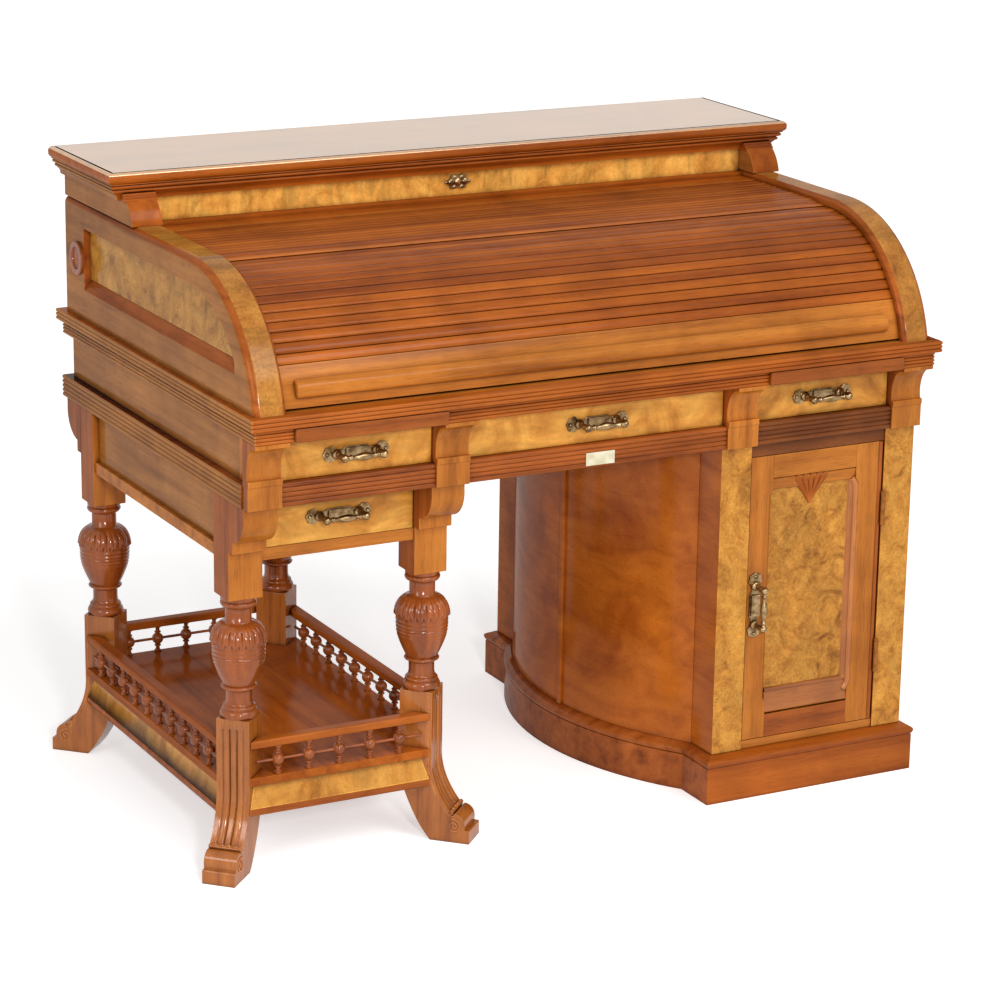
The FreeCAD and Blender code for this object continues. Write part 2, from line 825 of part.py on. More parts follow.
side_panel_out = corner_x - side_inset
side_panel_in = side_panel_out - panel_board
back_panel_out = cupboard_back - side_inset
back_panel_in = back_panel_out - panel_board
add("cupboard_walls", box(side_panel_in, side_panel_out, bow_y0, bow_y1, plinth_height, case_bottom))
add("cupboard_walls", box(bay_inner, bay_outer, back_panel_in, back_panel_out, plinth_height, case_bottom))

door_front = cupboard_front + door_recess
door_back = door_front + door_thickness


def cupboard_deck(z0, z1):
    """A floor or a top that fills the cupboard between its walls."""
    middle = box(bay_inner, bay_outer, door_back, back_panel_in, z0, z1)
    right = box(bay_outer, side_panel_in, bow_y0, bow_y1, z0, z1)
    left = along_z([
        (bay_inner, bow_y0),
        (centre_bay + bow_board, bow_y0),
        ((bow_x + bow_board, bow_y), (rear_x + bow_board, bow_y1)),
        (bay_inner, bow_y1),
    ], z0, z1)
    return [middle, right, left]


add("cupboard_decks", *cupboard_deck(plinth_height, plinth_height + cupboard_board))
add("cupboard_decks", *cupboard_deck(case_bottom - cupboard_board, case_bottom))

bearer_x = bay_inner - shelf_bearer
bearer_bottom = cupboard_shelf - shelf_bearer
add("cupboard_shelf", box(bearer_x, side_panel_in, bow_y0, bow_y1,
                          cupboard_shelf, cupboard_shelf + cupboard_board))
add("cupboard_shelf", box(bearer_x, bay_inner, bow_y0, bow_y1, bearer_bottom, cupboard_shelf))
add("cupboard_shelf", box(side_panel_in - shelf_bearer, side_panel_in, bow_y0, bow_y1,
                          bearer_bottom, cupboard_shelf))

# Cupboard door with its surround, sunk field, carved fan, handle and hinges

sill_top = plinth_height + door_sill
head_bottom = case_bottom - door_head
add("cupboard_walls", box(bay_inner, bay_outer, door_front, door_back, plinth_height, sill_top))
add("cupboard_walls", box(bay_inner, bay_outer, door_front, door_back, head_bottom, case_bottom))

hinge_gap = 2 * hinge_leaf + hinge_play
hinge_x = bay_outer - hinge_gap / 2
hinge_y = cupboard_front - hinge_radius - slide_gap
door_swing = hinge_x - bay_inner - slide_gap
door_left = hinge_x - math.sqrt(door_swing ** 2 - (door_back - hinge_y) ** 2)
door_right = bay_outer - hinge_gap
door_bottom = sill_top + gap
door_top = head_bottom - gap
field_x0 = door_left + door_stile
field_x1 = door_right - door_stile
field_z0 = door_bottom + door_rail
field_z1 = door_top - door_rail
add("door_frame", box(door_left, field_x0, door_front, door_back, door_bottom, door_top))
add("door_frame", box(field_x1, door_right, door_front, door_back, door_bottom, door_top))
add("door_frame", box(field_x0, field_x1, door_front, door_back, door_bottom, field_z0))
add("door_frame", box(field_x0, field_x1, door_front, door_back, field_z1, door_top))

field_front = door_front + (door_thickness - door_field) / 2
add("door_field", box(field_x0, field_x1, field_front, field_front + door_field, field_z0, field_z1))

fan_x = (field_x0 + field_x1) / 2
fan_half = fan_width / 2
fan_outline = [(fan_x - fan_half, field_z1), (fan_x + fan_half, field_z1), (fan_x, field_z1 - fan_height)]
add("door_fan", along_y(fan_outline, field_front - fan_thickness, field_front))

for shape in handle():
    shape.translate(vec(door_left + door_handle_inset, door_front, plinth_height + door_handle_level))
    add("door_handle", shape)

knuckle = hinge_length / 3
leaf_front = hinge_y + hinge_radius + slide_gap
leaf_back = door_front + hinge_leaf_depth


def knuckles(z0, z1):
    """A hinge knuckle between two heights."""
    return Part.makeCylinder(hinge_radius, z1 - z0, vec(hinge_x, hinge_y, z0))


for hinge_z in (door_bottom + hinge_inset, door_top - hinge_inset - hinge_length):
    low = hinge_z + knuckle
    high = low + knuckle
    top = hinge_z + hinge_length
    fixed_x = bay_outer - hinge_leaf
    fixed = box(fixed_x, bay_outer, leaf_front, leaf_back, hinge_z, top)
    for z0, z1 in ((hinge_z, low - seat), (high + seat, top)):
        fixed = fixed.fuse([knuckles(z0, z1), box(fixed_x, bay_outer, hinge_y, leaf_front, z0, z1)])
    pin = Part.makeCylinder(hinge_pin, hinge_length, vec(hinge_x, hinge_y, hinge_z))
    add("hinges", fixed.fuse(pin).removeSplitter())
    leaf_end = door_right + hinge_leaf
    moving = box(door_right, leaf_end, leaf_front, leaf_back, hinge_z, top)
    moving = moving.fuse([knuckles(low, high), box(door_right, leaf_end, hinge_y, leaf_front, low, high)])
    bore = Part.makeCylinder(hinge_pin + hinge_pin_fit, hinge_length, vec(hinge_x, hinge_y, hinge_z))
    add("hinge_leaves", moving.cut(bore).removeSplitter())


# Roll case: quadrant ends with a sunk field, a roundel and the curtain's groove

def on_roll(radius, degrees):
    """A point on a circle about the roll's axis, counted up from the front."""
    angle = math.radians(degrees)
    return (roll_centre_y - radius * math.cos(angle), roll_centre_z + radius * math.sin(angle))


def level_degrees(radius, height):
    """How far up a circle about the roll's axis reaches a height over the axis."""
    return math.degrees(math.asin(height / radius))


end_foot = level_degrees(roll_radius, roll_drop)
end_outline = [
    on_roll(roll_radius, end_foot),
    (on_roll(roll_radius, (end_foot + 90) / 2), on_roll(roll_radius, 90)),
    (case_back, roll_top),
    (case_back, writing_height),
]
field_rear = case_back - field_rear_inset
field_radius = roll_radius - field_margin
field_foot = level_degrees(field_radius, roll_drop + field_bottom)
field_outline = [
    on_roll(field_radius, field_foot),
    (on_roll(field_radius, (field_foot + 90) / 2), on_roll(field_radius, 90)),
    (field_rear, roll_centre_z + field_radius),
    (field_rear, writing_height + field_bottom),
]
field_back = roll_end_outer - field_depth
field_start = on_roll(field_radius, field_foot)[0]
field_low = writing_height + field_bottom
bevel_outline = [
    (field_back, field_low),
    (roll_end_outer, field_low),
    (roll_end_outer, field_low - field_bevel),
]
groove_outer = curtain_radius + groove_gap
groove_inner = canvas_radius - groove_gap
groove_axis = vec(roll_inner, roll_centre_y, roll_centre_z)
groove = Part.makeCylinder(groove_outer, groove_depth, groove_axis, vec(1, 0, 0))
groove = groove.cut(Part.makeCylinder(groove_inner, groove_depth, groove_axis, vec(1, 0, 0)))
groove = groove.common(box(roll_inner, roll_end_outer, 0, case_back, writing_height, roll_top))
roll_end = along_x(end_outline, roll_inner, roll_end_outer)
roll_end = roll_end.cut(along_x(field_outline, field_back, roll_end_outer))
roll_end = roll_end.cut(along_y(bevel_outline, field_start, field_rear))
roll_end = roll_end.cut(groove)
add("right_roll_end", roll_end)
add("left_roll_end", other_side(roll_end))

both_sides("roll_end_fields", along_x(field_outline, field_back, field_back + field_thickness))

roundel_y = case_back - roundel_inset
roundel_floor = roundel_thickness - roundel_dish
roundel = turned([
    (0, 0),
    (roundel_radius, 0),
    (roundel_radius, roundel_thickness - 1),
    (roundel_radius - 2, roundel_thickness),
    (roundel_radius - roundel_rim, roundel_thickness),
    ((roundel_radius / 2, roundel_floor + 0.2 * roundel_dish), (roundel_eye, roundel_floor)),
    (0, roundel_floor),
])
roundel.rotate(vec(0, 0, 0), vec(0, 1, 0), 90)
roundel.translate(vec(roll_end_outer, roundel_y, writing_height + roundel_level))
both_sides("roundels", roundel)

add("roll_back", box(-roll_inner, roll_inner, case_back - roll_back, case_back,
                     writing_height, frieze_level))
frieze_back = frieze_front + frieze_thickness
add("roll_top_board", box(-roll_inner, roll_inner, roll_centre_y + roll_top_lap, frieze_back,
                          fixed_bottom, fixed_top))


# Tambour curtain: slats on canvas, a lift rail and its bead, all on circles about one axis

def curved_strip(inner, outer, low, high, edge_drop):
    """A strip's outline between two radii and two angles, with its outer edges let down."""
    middle = (low + high) / 2
    return [
        on_roll(inner, low),
        on_roll(outer - edge_drop, low),
        (on_roll(outer, middle), on_roll(outer - edge_drop, high)),
        on_roll(inner, high),
        (on_roll(inner, middle), on_roll(inner, low)),
    ]


slat_start = rail_deg + lift_rail_deg
for index in range(slat_count):
    low = slat_start + index * slat_pitch_deg + slat_gap_deg
    high = slat_start + (index + 1) * slat_pitch_deg
    section = curved_strip(slat_inner_radius, curtain_radius, low, high, slat_edge_drop)
    add("tambour_slats", along_x(section, -slat_half, slat_half))

rail_strip = curved_strip(slat_inner_radius, curtain_radius, rail_deg, slat_start, 0)
add("tambour_lift_rail", along_x(rail_strip, -slat_half, slat_half))

bead_half = roll_inner - bead_end_gap
bead_strip = curved_strip(curtain_radius, curtain_radius + bead_out, rail_deg + bead_low_deg,
                          rail_deg + bead_high_deg, bead_out / 2)
add("tambour_lift_bead", along_x(bead_strip, -bead_half, bead_half))

slat_end = slat_start + slat_count * slat_pitch_deg
canvas_strip = curved_strip(canvas_radius, slat_inner_radius, rail_deg, slat_end, 0)
add("tambour_canvas", along_x(canvas_strip, -roll_inner + gap, roll_inner - gap))

# Stationery rack, low enough for the curtain to pass behind it

rack_half_width = roll_inner - rack_end_gap
rack_front = roll_centre_y + rack_front_gap
rack_back = rack_front + rack_depth
rack_top = writing_height + rack_height
rack_inner_top = rack_top - rack_board
rack_inner_base = writing_height + rack_board
add("stationery_rack", box(-rack_half_width, rack_half_width, rack_front, rack_back,
                           writing_height, rack_inner_base))
add("stationery_rack", box(-rack_half_width, rack_half_width, rack_front, rack_back,
                           rack_inner_top, rack_top))
add("stationery_rack", box(-rack_half_width, rack_half_width, rack_back - rack_board, rack_back,
                           rack_inner_base, rack_inner_top))
rack_pitch = (2 * rack_half_width - rack_board) / rack_bays
for index in range(rack_bays + 1):
    x = -rack_half_width + index * rack_pitch
    add("stationery_rack", box(x, x + rack_board, rack_front, rack_back - rack_board,
                               rack_inner_base, rack_inner_top))

# Frieze, its end blocks, the lock and the cornice

add("frieze_panel", box(-roll_inner, roll_inner, frieze_front, frieze_back, fixed_top, frieze_level))
add("frieze_panel", box(-roll_inner, roll_inner, frieze_front - frieze_fillet, frieze_front,
                        fixed_top, fixed_top + frieze_fillet))
frieze_end_front = frieze_front - frieze_end_out
flare_y = frieze_end_front - frieze_flare
frieze_middle = (roll_top + frieze_level) / 2
frieze_end_outline = [
    (case_back, roll_top),
    (case_back, frieze_level),
    (frieze_end_front, frieze_level),
    ((flare_y + 0.3 * frieze_flare, frieze_middle), (flare_y, roll_top)),
]
both_sides("frieze_ends", along_x(frieze_end_outline, roll_inner, roll_end_outer))

lock_level = (fixed_top + frieze_fillet + frieze_level) / 2
add("roll_lock", box(-lock_width / 2, lock_width / 2, frieze_back, frieze_back + lock_depth,
                     lock_level - lock_height / 2, lock_level + lock_height / 2))
plate_y = frieze_front - escutcheon_thickness
plate_lobe = escutcheon_boss * 0.7


def plate_disc(radius, x):
    """A round of the escutcheon's plate."""
    return Part.makeCylinder(radius, escutcheon_thickness, vec(x, plate_y, lock_level), vec(0, 1, 0))


lobe_x = escutcheon_half - plate_lobe
lobes = [plate_disc(plate_lobe, -lobe_x), plate_disc(plate_lobe, lobe_x)]
escutcheon = plate_disc(escutcheon_boss, 0).fuse(lobes).cut(plate_disc(keyhole, 0))
add("roll_lock", escutcheon.removeSplitter())

add("cornice", box(-roll_end_outer, roll_end_outer, frieze_front, case_back, frieze_level, cornice_top))
cove_hollow = (-cornice_out + 0.8 * (cornice_out - cornice_foot), -0.35 * cornice_height)
cove_section = [
    (0, 0),
    (-cornice_out, 0),
    (cove_hollow, (-cornice_foot, -cornice_height)),
    (0, -cornice_height),
]
cornice_width = 2 * roll_end_outer
cornice_depth = case_back - frieze_front
front_cove = moulding(cove_section, cornice_out, cornice_height, cornice_width, True, True)
right_cove = moulding(cove_section, cornice_out, cornice_height, cornice_depth, True, False)
left_cove = moulding(cove_section, cornice_out, cornice_height, cornice_depth, False, True)
add("cornice", placed(front_cove, 0, -roll_end_outer, frieze_front, cornice_top))
add("cornice", placed(right_cove, 90, roll_end_outer, frieze_front, cornice_top))
add("cornice", placed(left_cove, 270, -roll_end_outer, case_back, cornice_top))

nosing = top_board / 2
board_out = cornice_out + top_board_out
board_front = frieze_front - board_out
board_middle = (board_front + case_back) / 2
top = box(-desk_right, desk_right, board_front, case_back, cornice_top, cornice_top + top_board)
nosed_edges = []
for edge in top.Edges:
    middle = edge.CenterOfMass
    at_front = abs(middle.y - board_front) < gap and abs(middle.x) < gap
    at_side = abs(abs(middle.x) - desk_right) < gap and abs(middle.y - board_middle) < gap
    if at_front or at_side:
        nosed_edges.append(edge)
add("top_board", top.makeFillet(0.8 * nosing, nosed_edges))

# Write one file for each node, moved to the desk's own origin

os.makedirs("parts", exist_ok=True)
for name, shapes in nodes.items():
    group = shapes[0] if len(shapes) == 1 else Part.makeCompound(shapes)
    group = group.copy()
    group.translate(centre * -1)
    group.exportStep("parts/" + name + ".step")
    print(name, len(group.Solids), group.isValid(), round(group.Volume / 1e3, 1))
print("nodes", len(nodes))
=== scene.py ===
import json
import math

import bpy
from mathutils import Matrix, Vector

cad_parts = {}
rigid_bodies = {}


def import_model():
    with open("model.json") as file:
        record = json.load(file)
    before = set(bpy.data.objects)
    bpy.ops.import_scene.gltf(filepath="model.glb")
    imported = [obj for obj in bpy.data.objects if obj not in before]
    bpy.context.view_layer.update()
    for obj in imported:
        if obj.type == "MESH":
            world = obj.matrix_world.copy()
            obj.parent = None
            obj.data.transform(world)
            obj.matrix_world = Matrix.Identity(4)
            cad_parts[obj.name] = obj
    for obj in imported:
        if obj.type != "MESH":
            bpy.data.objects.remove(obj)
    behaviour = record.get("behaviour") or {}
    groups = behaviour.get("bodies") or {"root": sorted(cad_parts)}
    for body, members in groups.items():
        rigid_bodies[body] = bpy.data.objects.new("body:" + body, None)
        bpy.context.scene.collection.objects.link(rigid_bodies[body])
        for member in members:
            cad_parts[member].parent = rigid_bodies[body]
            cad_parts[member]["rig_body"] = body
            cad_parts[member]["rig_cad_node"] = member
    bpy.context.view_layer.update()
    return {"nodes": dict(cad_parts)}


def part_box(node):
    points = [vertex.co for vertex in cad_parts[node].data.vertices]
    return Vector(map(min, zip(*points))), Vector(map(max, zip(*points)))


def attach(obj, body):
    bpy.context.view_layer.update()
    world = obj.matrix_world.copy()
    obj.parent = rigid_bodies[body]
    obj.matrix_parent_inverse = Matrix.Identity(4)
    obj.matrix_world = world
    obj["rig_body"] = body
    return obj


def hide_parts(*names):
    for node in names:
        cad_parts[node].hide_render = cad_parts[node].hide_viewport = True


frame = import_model()

# The desk as it stands
# A walnut and burr-veneered roll-top desk on a turned pedestal and a bow-sided cupboard.
# Its sizes are millimetres from its own centre line, the nose of its moulding and the floor.

MM = 0.001
board_low, board_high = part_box("writing_board")
nose_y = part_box("writing_moulding")[0].y
mid_x = (board_low.x + board_high.x) / 2
scene = bpy.context.scene


def at(x, y, z):
    """A place on the desk, in the frame's metres."""
    return Vector((mid_x + x * MM, nose_y + y * MM, z * MM))


# The camera
# It stands to the left of the front and a little above the desk, far off with a long lens.

camera_data = bpy.data.cameras.new("camera")
camera = bpy.data.objects.new("camera", camera_data)
scene.collection.objects.link(camera)
scene.camera = camera
azimuth = math.radians(-28.008)
elevation = math.radians(16.229)
roll = math.radians(0.9)
viewpoint = at(-2645.4, -4560.3, 2130.3)
camera_data.sensor_width = 36.0
camera_data.lens = 121.69
camera_data.clip_end = 100.0
back = Vector((math.sin(azimuth) * math.cos(elevation), -math.cos(azimuth) * math.cos(elevation),
               math.sin(elevation)))
right = (-back).cross(Vector((0, 0, 1))).normalized()
up = right.cross(-back)
level = Matrix((right, up, back)).transposed()
camera.matrix_world = Matrix.Translation(viewpoint) @ (level @ Matrix.Rotation(roll, 3, "Z")).to_4x4()

# The stage
# A plain white floor under an even white sky, a soft sun over the front, a lamp by the camera
# and a wider one to the left, which the rounded polish catches.

scene.view_settings.view_transform = "Standard"
sky_light, floor_glow = 0.42, 0.52
lamp_target = (0, 0, 0.5)


def fill(node, **inputs):
    """A shader node's inputs set to values or joined to the outputs of other nodes."""
    for name, value in inputs.items():
        socket = node.inputs[name.replace("_", " ")]
        if isinstance(value, bpy.types.NodeSocket):
            node.id_data.links.new(value, socket)
        else:
            socket.default_value = value
    return node


def added(tree, kind, **inputs):
    """A new shader node with its inputs filled."""
    return fill(tree.nodes.new(kind), **inputs)


def stage_level(tree, plain, shown):
    """One value for plain rays and another for those that show the stage, straight or by gloss or glass."""
    rays = added(tree, "ShaderNodeLightPath").outputs
    total = rays["Is Camera Ray"]
    for name in ("Is Glossy Ray", "Is Transmission Ray"):
        either = added(tree, "ShaderNodeMath")
        either.operation = "MAXIMUM"
        tree.links.new(total, either.inputs[0])
        tree.links.new(rays[name], either.inputs[1])
        total = either.outputs[0]
    return added(tree, "ShaderNodeMapRange", Value=total, To_Min=plain, To_Max=shown).outputs[0]


world = bpy.data.worlds.new("sky")
scene.world = world
world.use_nodes = True
fill(world.node_tree.nodes["Background"], Color=(1, 1, 1, 1),
     Strength=stage_level(world.node_tree, sky_light, 1.0))

bpy.ops.mesh.primitive_plane_add(size=80, location=(0, 0, 0))
floor = bpy.context.object
floor.name = "floor"
floor_paint = bpy.data.materials.new("white_floor")
floor_paint.use_nodes = True
fill(floor_paint.node_tree.nodes["Principled BSDF"], Base_Color=(0.86, 0.86, 0.86, 1), Roughness=0.9,
     Specular_IOR_Level=0.0, Emission_Color=(1, 1, 1, 1),
     Emission_Strength=stage_level(floor_paint.node_tree, 0.0, floor_glow))
floor.data.materials.append(floor_paint)

sun_data = bpy.data.lights.new("soft_sun", "SUN")
sun_data.energy = 1.15
sun_data.angle = math.radians(30)
sun = bpy.data.objects.new("soft_sun", sun_data)
scene.collection.objects.link(sun)
sun.rotation_euler = (math.radians(46), 0, math.radians(18))


def soft_lamp(name, power, size, place):
    """A square lamp that looks at the middle of the desk."""
    lamp_data = bpy.data.lights.new(name, "AREA")
    lamp_data.energy = power
    lamp_data.size = size
    lamp = bpy.data.objects.new(name, lamp_data)
    scene.collection.objects.link(lamp)
    lamp.location = place
    lamp.rotation_euler = (Vector(lamp_target) - Vector(place)).to_track_quat("-Z", "Y").to_euler()
    lamp.visible_camera = False


soft_lamp("camera_lamp", 105.0, 0.5, (-1.7, -4.9, 2.3))
soft_lamp("window_lamp", 26.0, 1.1, (-3.4, -1.4, 1.9))

# Polished walnut
# Solid walnut and walnut veneer under an old shellac polish, orange-brown with darker streaks.
# Each wood has a light, a middle and a dark tone, and its streaks and pores run along its grain.

WALNUT = (0.58, 0.205, 0.030), (0.46, 0.146, 0.019), (0.26, 0.072, 0.009)
BROWN = (0.47, 0.190, 0.042), (0.35, 0.128, 0.024), (0.19, 0.062, 0.011)
RED = (0.46, 0.127, 0.022), (0.34, 0.083, 0.013), (0.17, 0.038, 0.007)
SLAT = (0.46, 0.120, 0.013), (0.37, 0.088, 0.009), (0.25, 0.052, 0.006)
LEG = (0.48, 0.160, 0.030), (0.37, 0.110, 0.019), (0.19, 0.048, 0.008)
TURNED = (0.41, 0.104, 0.019), (0.29, 0.067, 0.011), (0.11, 0.022, 0.004)
# Painted shade: darker tones for walnut that lies in shadow.
PAINTED_SHADE = (0.25, 0.075, 0.017), (0.18, 0.050, 0.011), (0.08, 0.020, 0.005)
FIGURED = (0.56, 0.155, 0.018), (0.47, 0.118, 0.012), (0.33, 0.074, 0.008)
LINING = (0.48, 0.30, 0.15), (0.40, 0.23, 0.10), (0.28, 0.14, 0.06)
pore_along, pore_across = 36.0, 560.0


def noise(place, scale, detail, roughness=0.5, distortion=0.0):
    """Cloudy noise over a place."""
    texture = added(place.id_data, "ShaderNodeTexNoise", Vector=place, Scale=scale, Detail=detail,
                    Roughness=roughness, Distortion=distortion)
    return texture.outputs[0]


def stretched(place, scales):
    """A place with a scale for each axis."""
    return added(place.id_data, "ShaderNodeMapping", Vector=place, Scale=scales).outputs[0]


def multiplied(share, first, second):
    """One colour darkened by another, by a share that is a number or an output."""
    mix = added(first.id_data, "ShaderNodeMix", Factor=share)
    mix.data_type = "RGBA"
    mix.blend_type = "MULTIPLY"
    for output, socket in ((first, mix.inputs[6]), (second, mix.inputs[7])):
        first.id_data.links.new(output, socket)
    return mix.outputs[2]


def ramp_of(source, *stops):
    """A colour ramp over a number, from (place, colour) stops."""
    ramp = added(source.id_data, "ShaderNodeValToRGB", Fac=source)
    while len(ramp.color_ramp.elements) < len(stops):
        ramp.color_ramp.elements.new(0.5)
    for element, (place, colour) in zip(ramp.color_ramp.elements, stops):
        element.position = place
        element.color = (*colour, 1)
    return ramp.outputs[0]


def grey(value):
    """A grey of one value."""
    return (value, value, value)


def openness(tree, reach, inside):
    """How open a place is within a short reach, outside the piece or inside it."""
    probe = added(tree, "ShaderNodeAmbientOcclusion", Distance=reach)
    probe.samples = 4
    probe.inside = inside
    probe.only_local = inside
    return probe.outputs["AO"]


# Painted shade: the corners and hollows of a material are darkened, and its edges lightened as a painted
# highlight, besides old wax and wear.
def painted_shade_and_wear(colour):
    """Corners darkened, partly old wax and partly painted shade, and edges lightened, partly polish rubbed
    pale and partly a painted highlight.
    """
    wax_and_shade = ramp_of(openness(colour.id_data, 0.012, False), (0.20, (0.20, 0.15, 0.12)), (0.82, grey(1.0)))
    wear_and_highlight = ramp_of(openness(colour.id_data, 0.0022, True), (0.45, (1.35, 1.45, 1.6)), (0.80, grey(1.0)))
    return multiplied(1.0, multiplied(1.0, colour, wax_and_shade), wear_and_highlight)


def polished(name, colour_of, roughness, coat, shaded_and_worn=True):
    """A material whose colour and bump come from one function, given painted shade in its corners and a
    painted highlight on its edges along with wax and wear, under a coat of polish.
    """
    material = bpy.data.materials.new(name)
    material.use_nodes = True
    tree = material.node_tree
    colour, height, depth = colour_of(added(tree, "ShaderNodeTexCoord").outputs["Object"])
    if shaded_and_worn:
        colour = painted_shade_and_wear(colour)
    bump = added(tree, "ShaderNodeBump", Strength=0.35, Distance=depth, Height=height)
    fill(tree.nodes["Principled BSDF"], Base_Color=colour, Normal=bump.outputs[0], Roughness=roughness,
         Specular_IOR_Level=0.0, Coat_Weight=coat, Coat_Roughness=0.15)
    return material


def walnut(name, grain, tones=WALNUT, swirl=0.4, strips=False, roughness=0.36, coat=0.30, along=2.4,
           across=46.0, cloudy=(0.78, 0.74, 0.70)):
    """Walnut whose grain runs along one axis, clouded here and there and, in strips, with a tone for each."""
    light, middle, dark = tones

    def colour_of(place):
        lengthwise = stretched(place, [along if axis == grain else across for axis in "XYZ"])
        streak = noise(lengthwise, 1.0, 6.0, 0.55, swirl)
        wood = ramp_of(streak, (0.24, dark), (0.47, middle), (0.76, light))
        cloud = noise(place, 6.5, 5.0, distortion=0.6)
        shade = ramp_of(cloud, (0.32, cloudy), (0.5, grey(0.98)), (0.70, grey(1.16)))
        wood = multiplied(1.0, wood, shade)
        if strips:
            island = added(place.id_data, "ShaderNodeNewGeometry").outputs["Random Per Island"]
            tone = ramp_of(island, (0.0, (0.74, 0.68, 0.62)), (1.0, (1.12, 1.14, 1.12)))
            wood = multiplied(1.0, wood, tone)
        fine = stretched(place, [pore_along if axis == grain else pore_across for axis in "XYZ"])
        pores = ramp_of(noise(fine, 1.0, 3.0, 0.55), (0.34, grey(0.62)), (0.48, grey(1.0)))
        return multiplied(0.55, wood, pores), pores, 0.0003

    return polished(name, colour_of, roughness, coat)


walnut_x = walnut("walnut_along_front", "X")
walnut_y = walnut("walnut_along_side", "Y", BROWN)
walnut_z = walnut("walnut_upright", "Z")
leg_walnut = walnut("leg_walnut", "Z", LEG, coat=0.8)
bevel_x = walnut("bevel_walnut", "X", LEG, coat=0.8)
turned_walnut = walnut("turned_walnut", "Z", TURNED, roughness=0.3, coat=0.75)
red_x = walnut("red_walnut_along_front", "X", RED)
red_z = walnut("red_walnut_upright", "Z", RED)
moulded_x = walnut("moulded_walnut", "X", SLAT)
# Painted shade: a darker walnut laid where shadow falls, over the door.
painted_shade_x = walnut("painted_shade_walnut", "X", PAINTED_SHADE)
figured = walnut("figured_walnut", "Y", FIGURED, swirl=1.1, along=5.0, across=24.0, cloudy=(0.66, 0.52, 0.46))
shelf_walnut = walnut("shelf_walnut", "Y", SLAT, coat=0.2)
lining = walnut("waxed_lining", "Y", LINING, roughness=0.6, coat=0.0)

# Burr veneer
# Golden walnut burr, laid in leaves made lighter and darker against each other by a painted sheen, with dark
# eyes and clouds.
# The fronts, the pilasters, the door and the sides are each cut from another burr.


def cells(place, scale):
    """The distance to the nearest of many scattered points."""
    return added(place.id_data, "ShaderNodeTexVoronoi", Vector=place, Scale=scale).outputs["Distance"]


def burr(name, leaf, tones, eyes=0.8, fine=1.0, swirl=1.0, knot=13.0, painted_sheen_low=0.62):
    """Burr veneer with leaves of a given size in each direction, lit and darkened by a painted sheen, more or
    less eyed, speckled and swirled.
    """
    light, middle, dark = tones

    def colour_of(place):
        figure = noise(place, knot, 11.0, 0.5 + 0.2 * fine, swirl)
        wood = ramp_of(figure, (0.30, dark), (0.46, middle), (0.64, light))
        # Painted sheen: each leaf lighter or darker as if it caught the light at its own angle.
        painted_sheen = noise(stretched(place, [1.0 / size for size in leaf]), 1.0, 5.0, 0.6, 0.9)
        shade = ramp_of(painted_sheen, (0.30, grey(painted_sheen_low)), (0.5, grey(0.98)), (0.70, grey(1.2)))
        wood = multiplied(1.0, wood, shade)
        mottle = ramp_of(noise(place, 230.0, 3.0, 0.6), (0.36, grey(0.80)), (0.56, grey(1.05)))
        wood = multiplied(fine, wood, mottle)
        spot = ramp_of(cells(place, 150.0), (0.10, grey(0.40)), (0.30, grey(1.0)))
        where = ramp_of(noise(place, 12.0, 3.0), (0.53, grey(0.0)), (0.66, grey(eyes)))
        return multiplied(where, wood, spot), figure, 0.0001

    return polished(name, colour_of, 0.34, 0.34)


burr_front = burr("burr_front", (0.12, 0.3, 0.03),
                  ((0.80, 0.385, 0.070), (0.64, 0.262, 0.039), (0.43, 0.152, 0.020)),
                  eyes=0.15, fine=0.3, swirl=2.0, knot=9.0, painted_sheen_low=0.76)
burr_frieze = burr("burr_frieze", (0.028, 0.3, 0.07),
                   ((0.88, 0.460, 0.095), (0.75, 0.340, 0.062), (0.45, 0.170, 0.028)),
                   eyes=0.3, fine=0.5, swirl=1.6)
burr_upright = burr("burr_upright", (0.06, 0.3, 0.09),
                    ((0.66, 0.310, 0.052), (0.54, 0.220, 0.031), (0.25, 0.085, 0.011)),
                    eyes=1.0, fine=0.9, swirl=1.2, knot=22.0, painted_sheen_low=0.78)
burr_door = burr("burr_door", (0.06, 0.3, 0.09),
                 ((0.62, 0.285, 0.047), (0.46, 0.182, 0.025), (0.17, 0.054, 0.007)),
                 eyes=1.0, swirl=1.3, knot=24.0, painted_sheen_low=0.72)
burr_side = burr("burr_side", (0.3, 0.07, 0.05),
                 ((0.56, 0.270, 0.050), (0.44, 0.190, 0.031), (0.27, 0.100, 0.015)),
                 fine=0.8, swirl=1.2, knot=19.0, painted_sheen_low=0.74)
burr_edge = burr("burr_edge", (0.3, 0.06, 0.06),
                 ((0.52, 0.225, 0.040), (0.41, 0.155, 0.024), (0.24, 0.078, 0.011)))
burr_apron = burr("burr_apron", (0.07, 0.07, 0.3),
                  ((0.68, 0.320, 0.060), (0.55, 0.225, 0.036), (0.30, 0.100, 0.013)), fine=0.5)

# Boards and posts as sawn and planed
# Plain walnut boards, posts and carcase work, glued up from solid wood.
# Each takes the CAD piece's own shape, with its arrises taken off before polishing.


def pick(*pieces):
    """Only these pieces selected, the first one active."""
    bpy.ops.object.select_all(action="DESELECT")
    for piece in pieces:
        piece.select_set(True)
    bpy.context.view_layer.objects.active = pieces[0]


def apply_all(piece):
    """Every modifier of a piece applied."""
    pick(piece)
    for modifier in list(piece.modifiers):
        bpy.ops.object.modifier_apply(modifier=modifier.name)


def open_whole(piece):
    """Edit mode with the whole of a piece selected."""
    pick(piece)
    bpy.ops.object.mode_set(mode="EDIT")
    bpy.ops.mesh.select_all(action="SELECT")


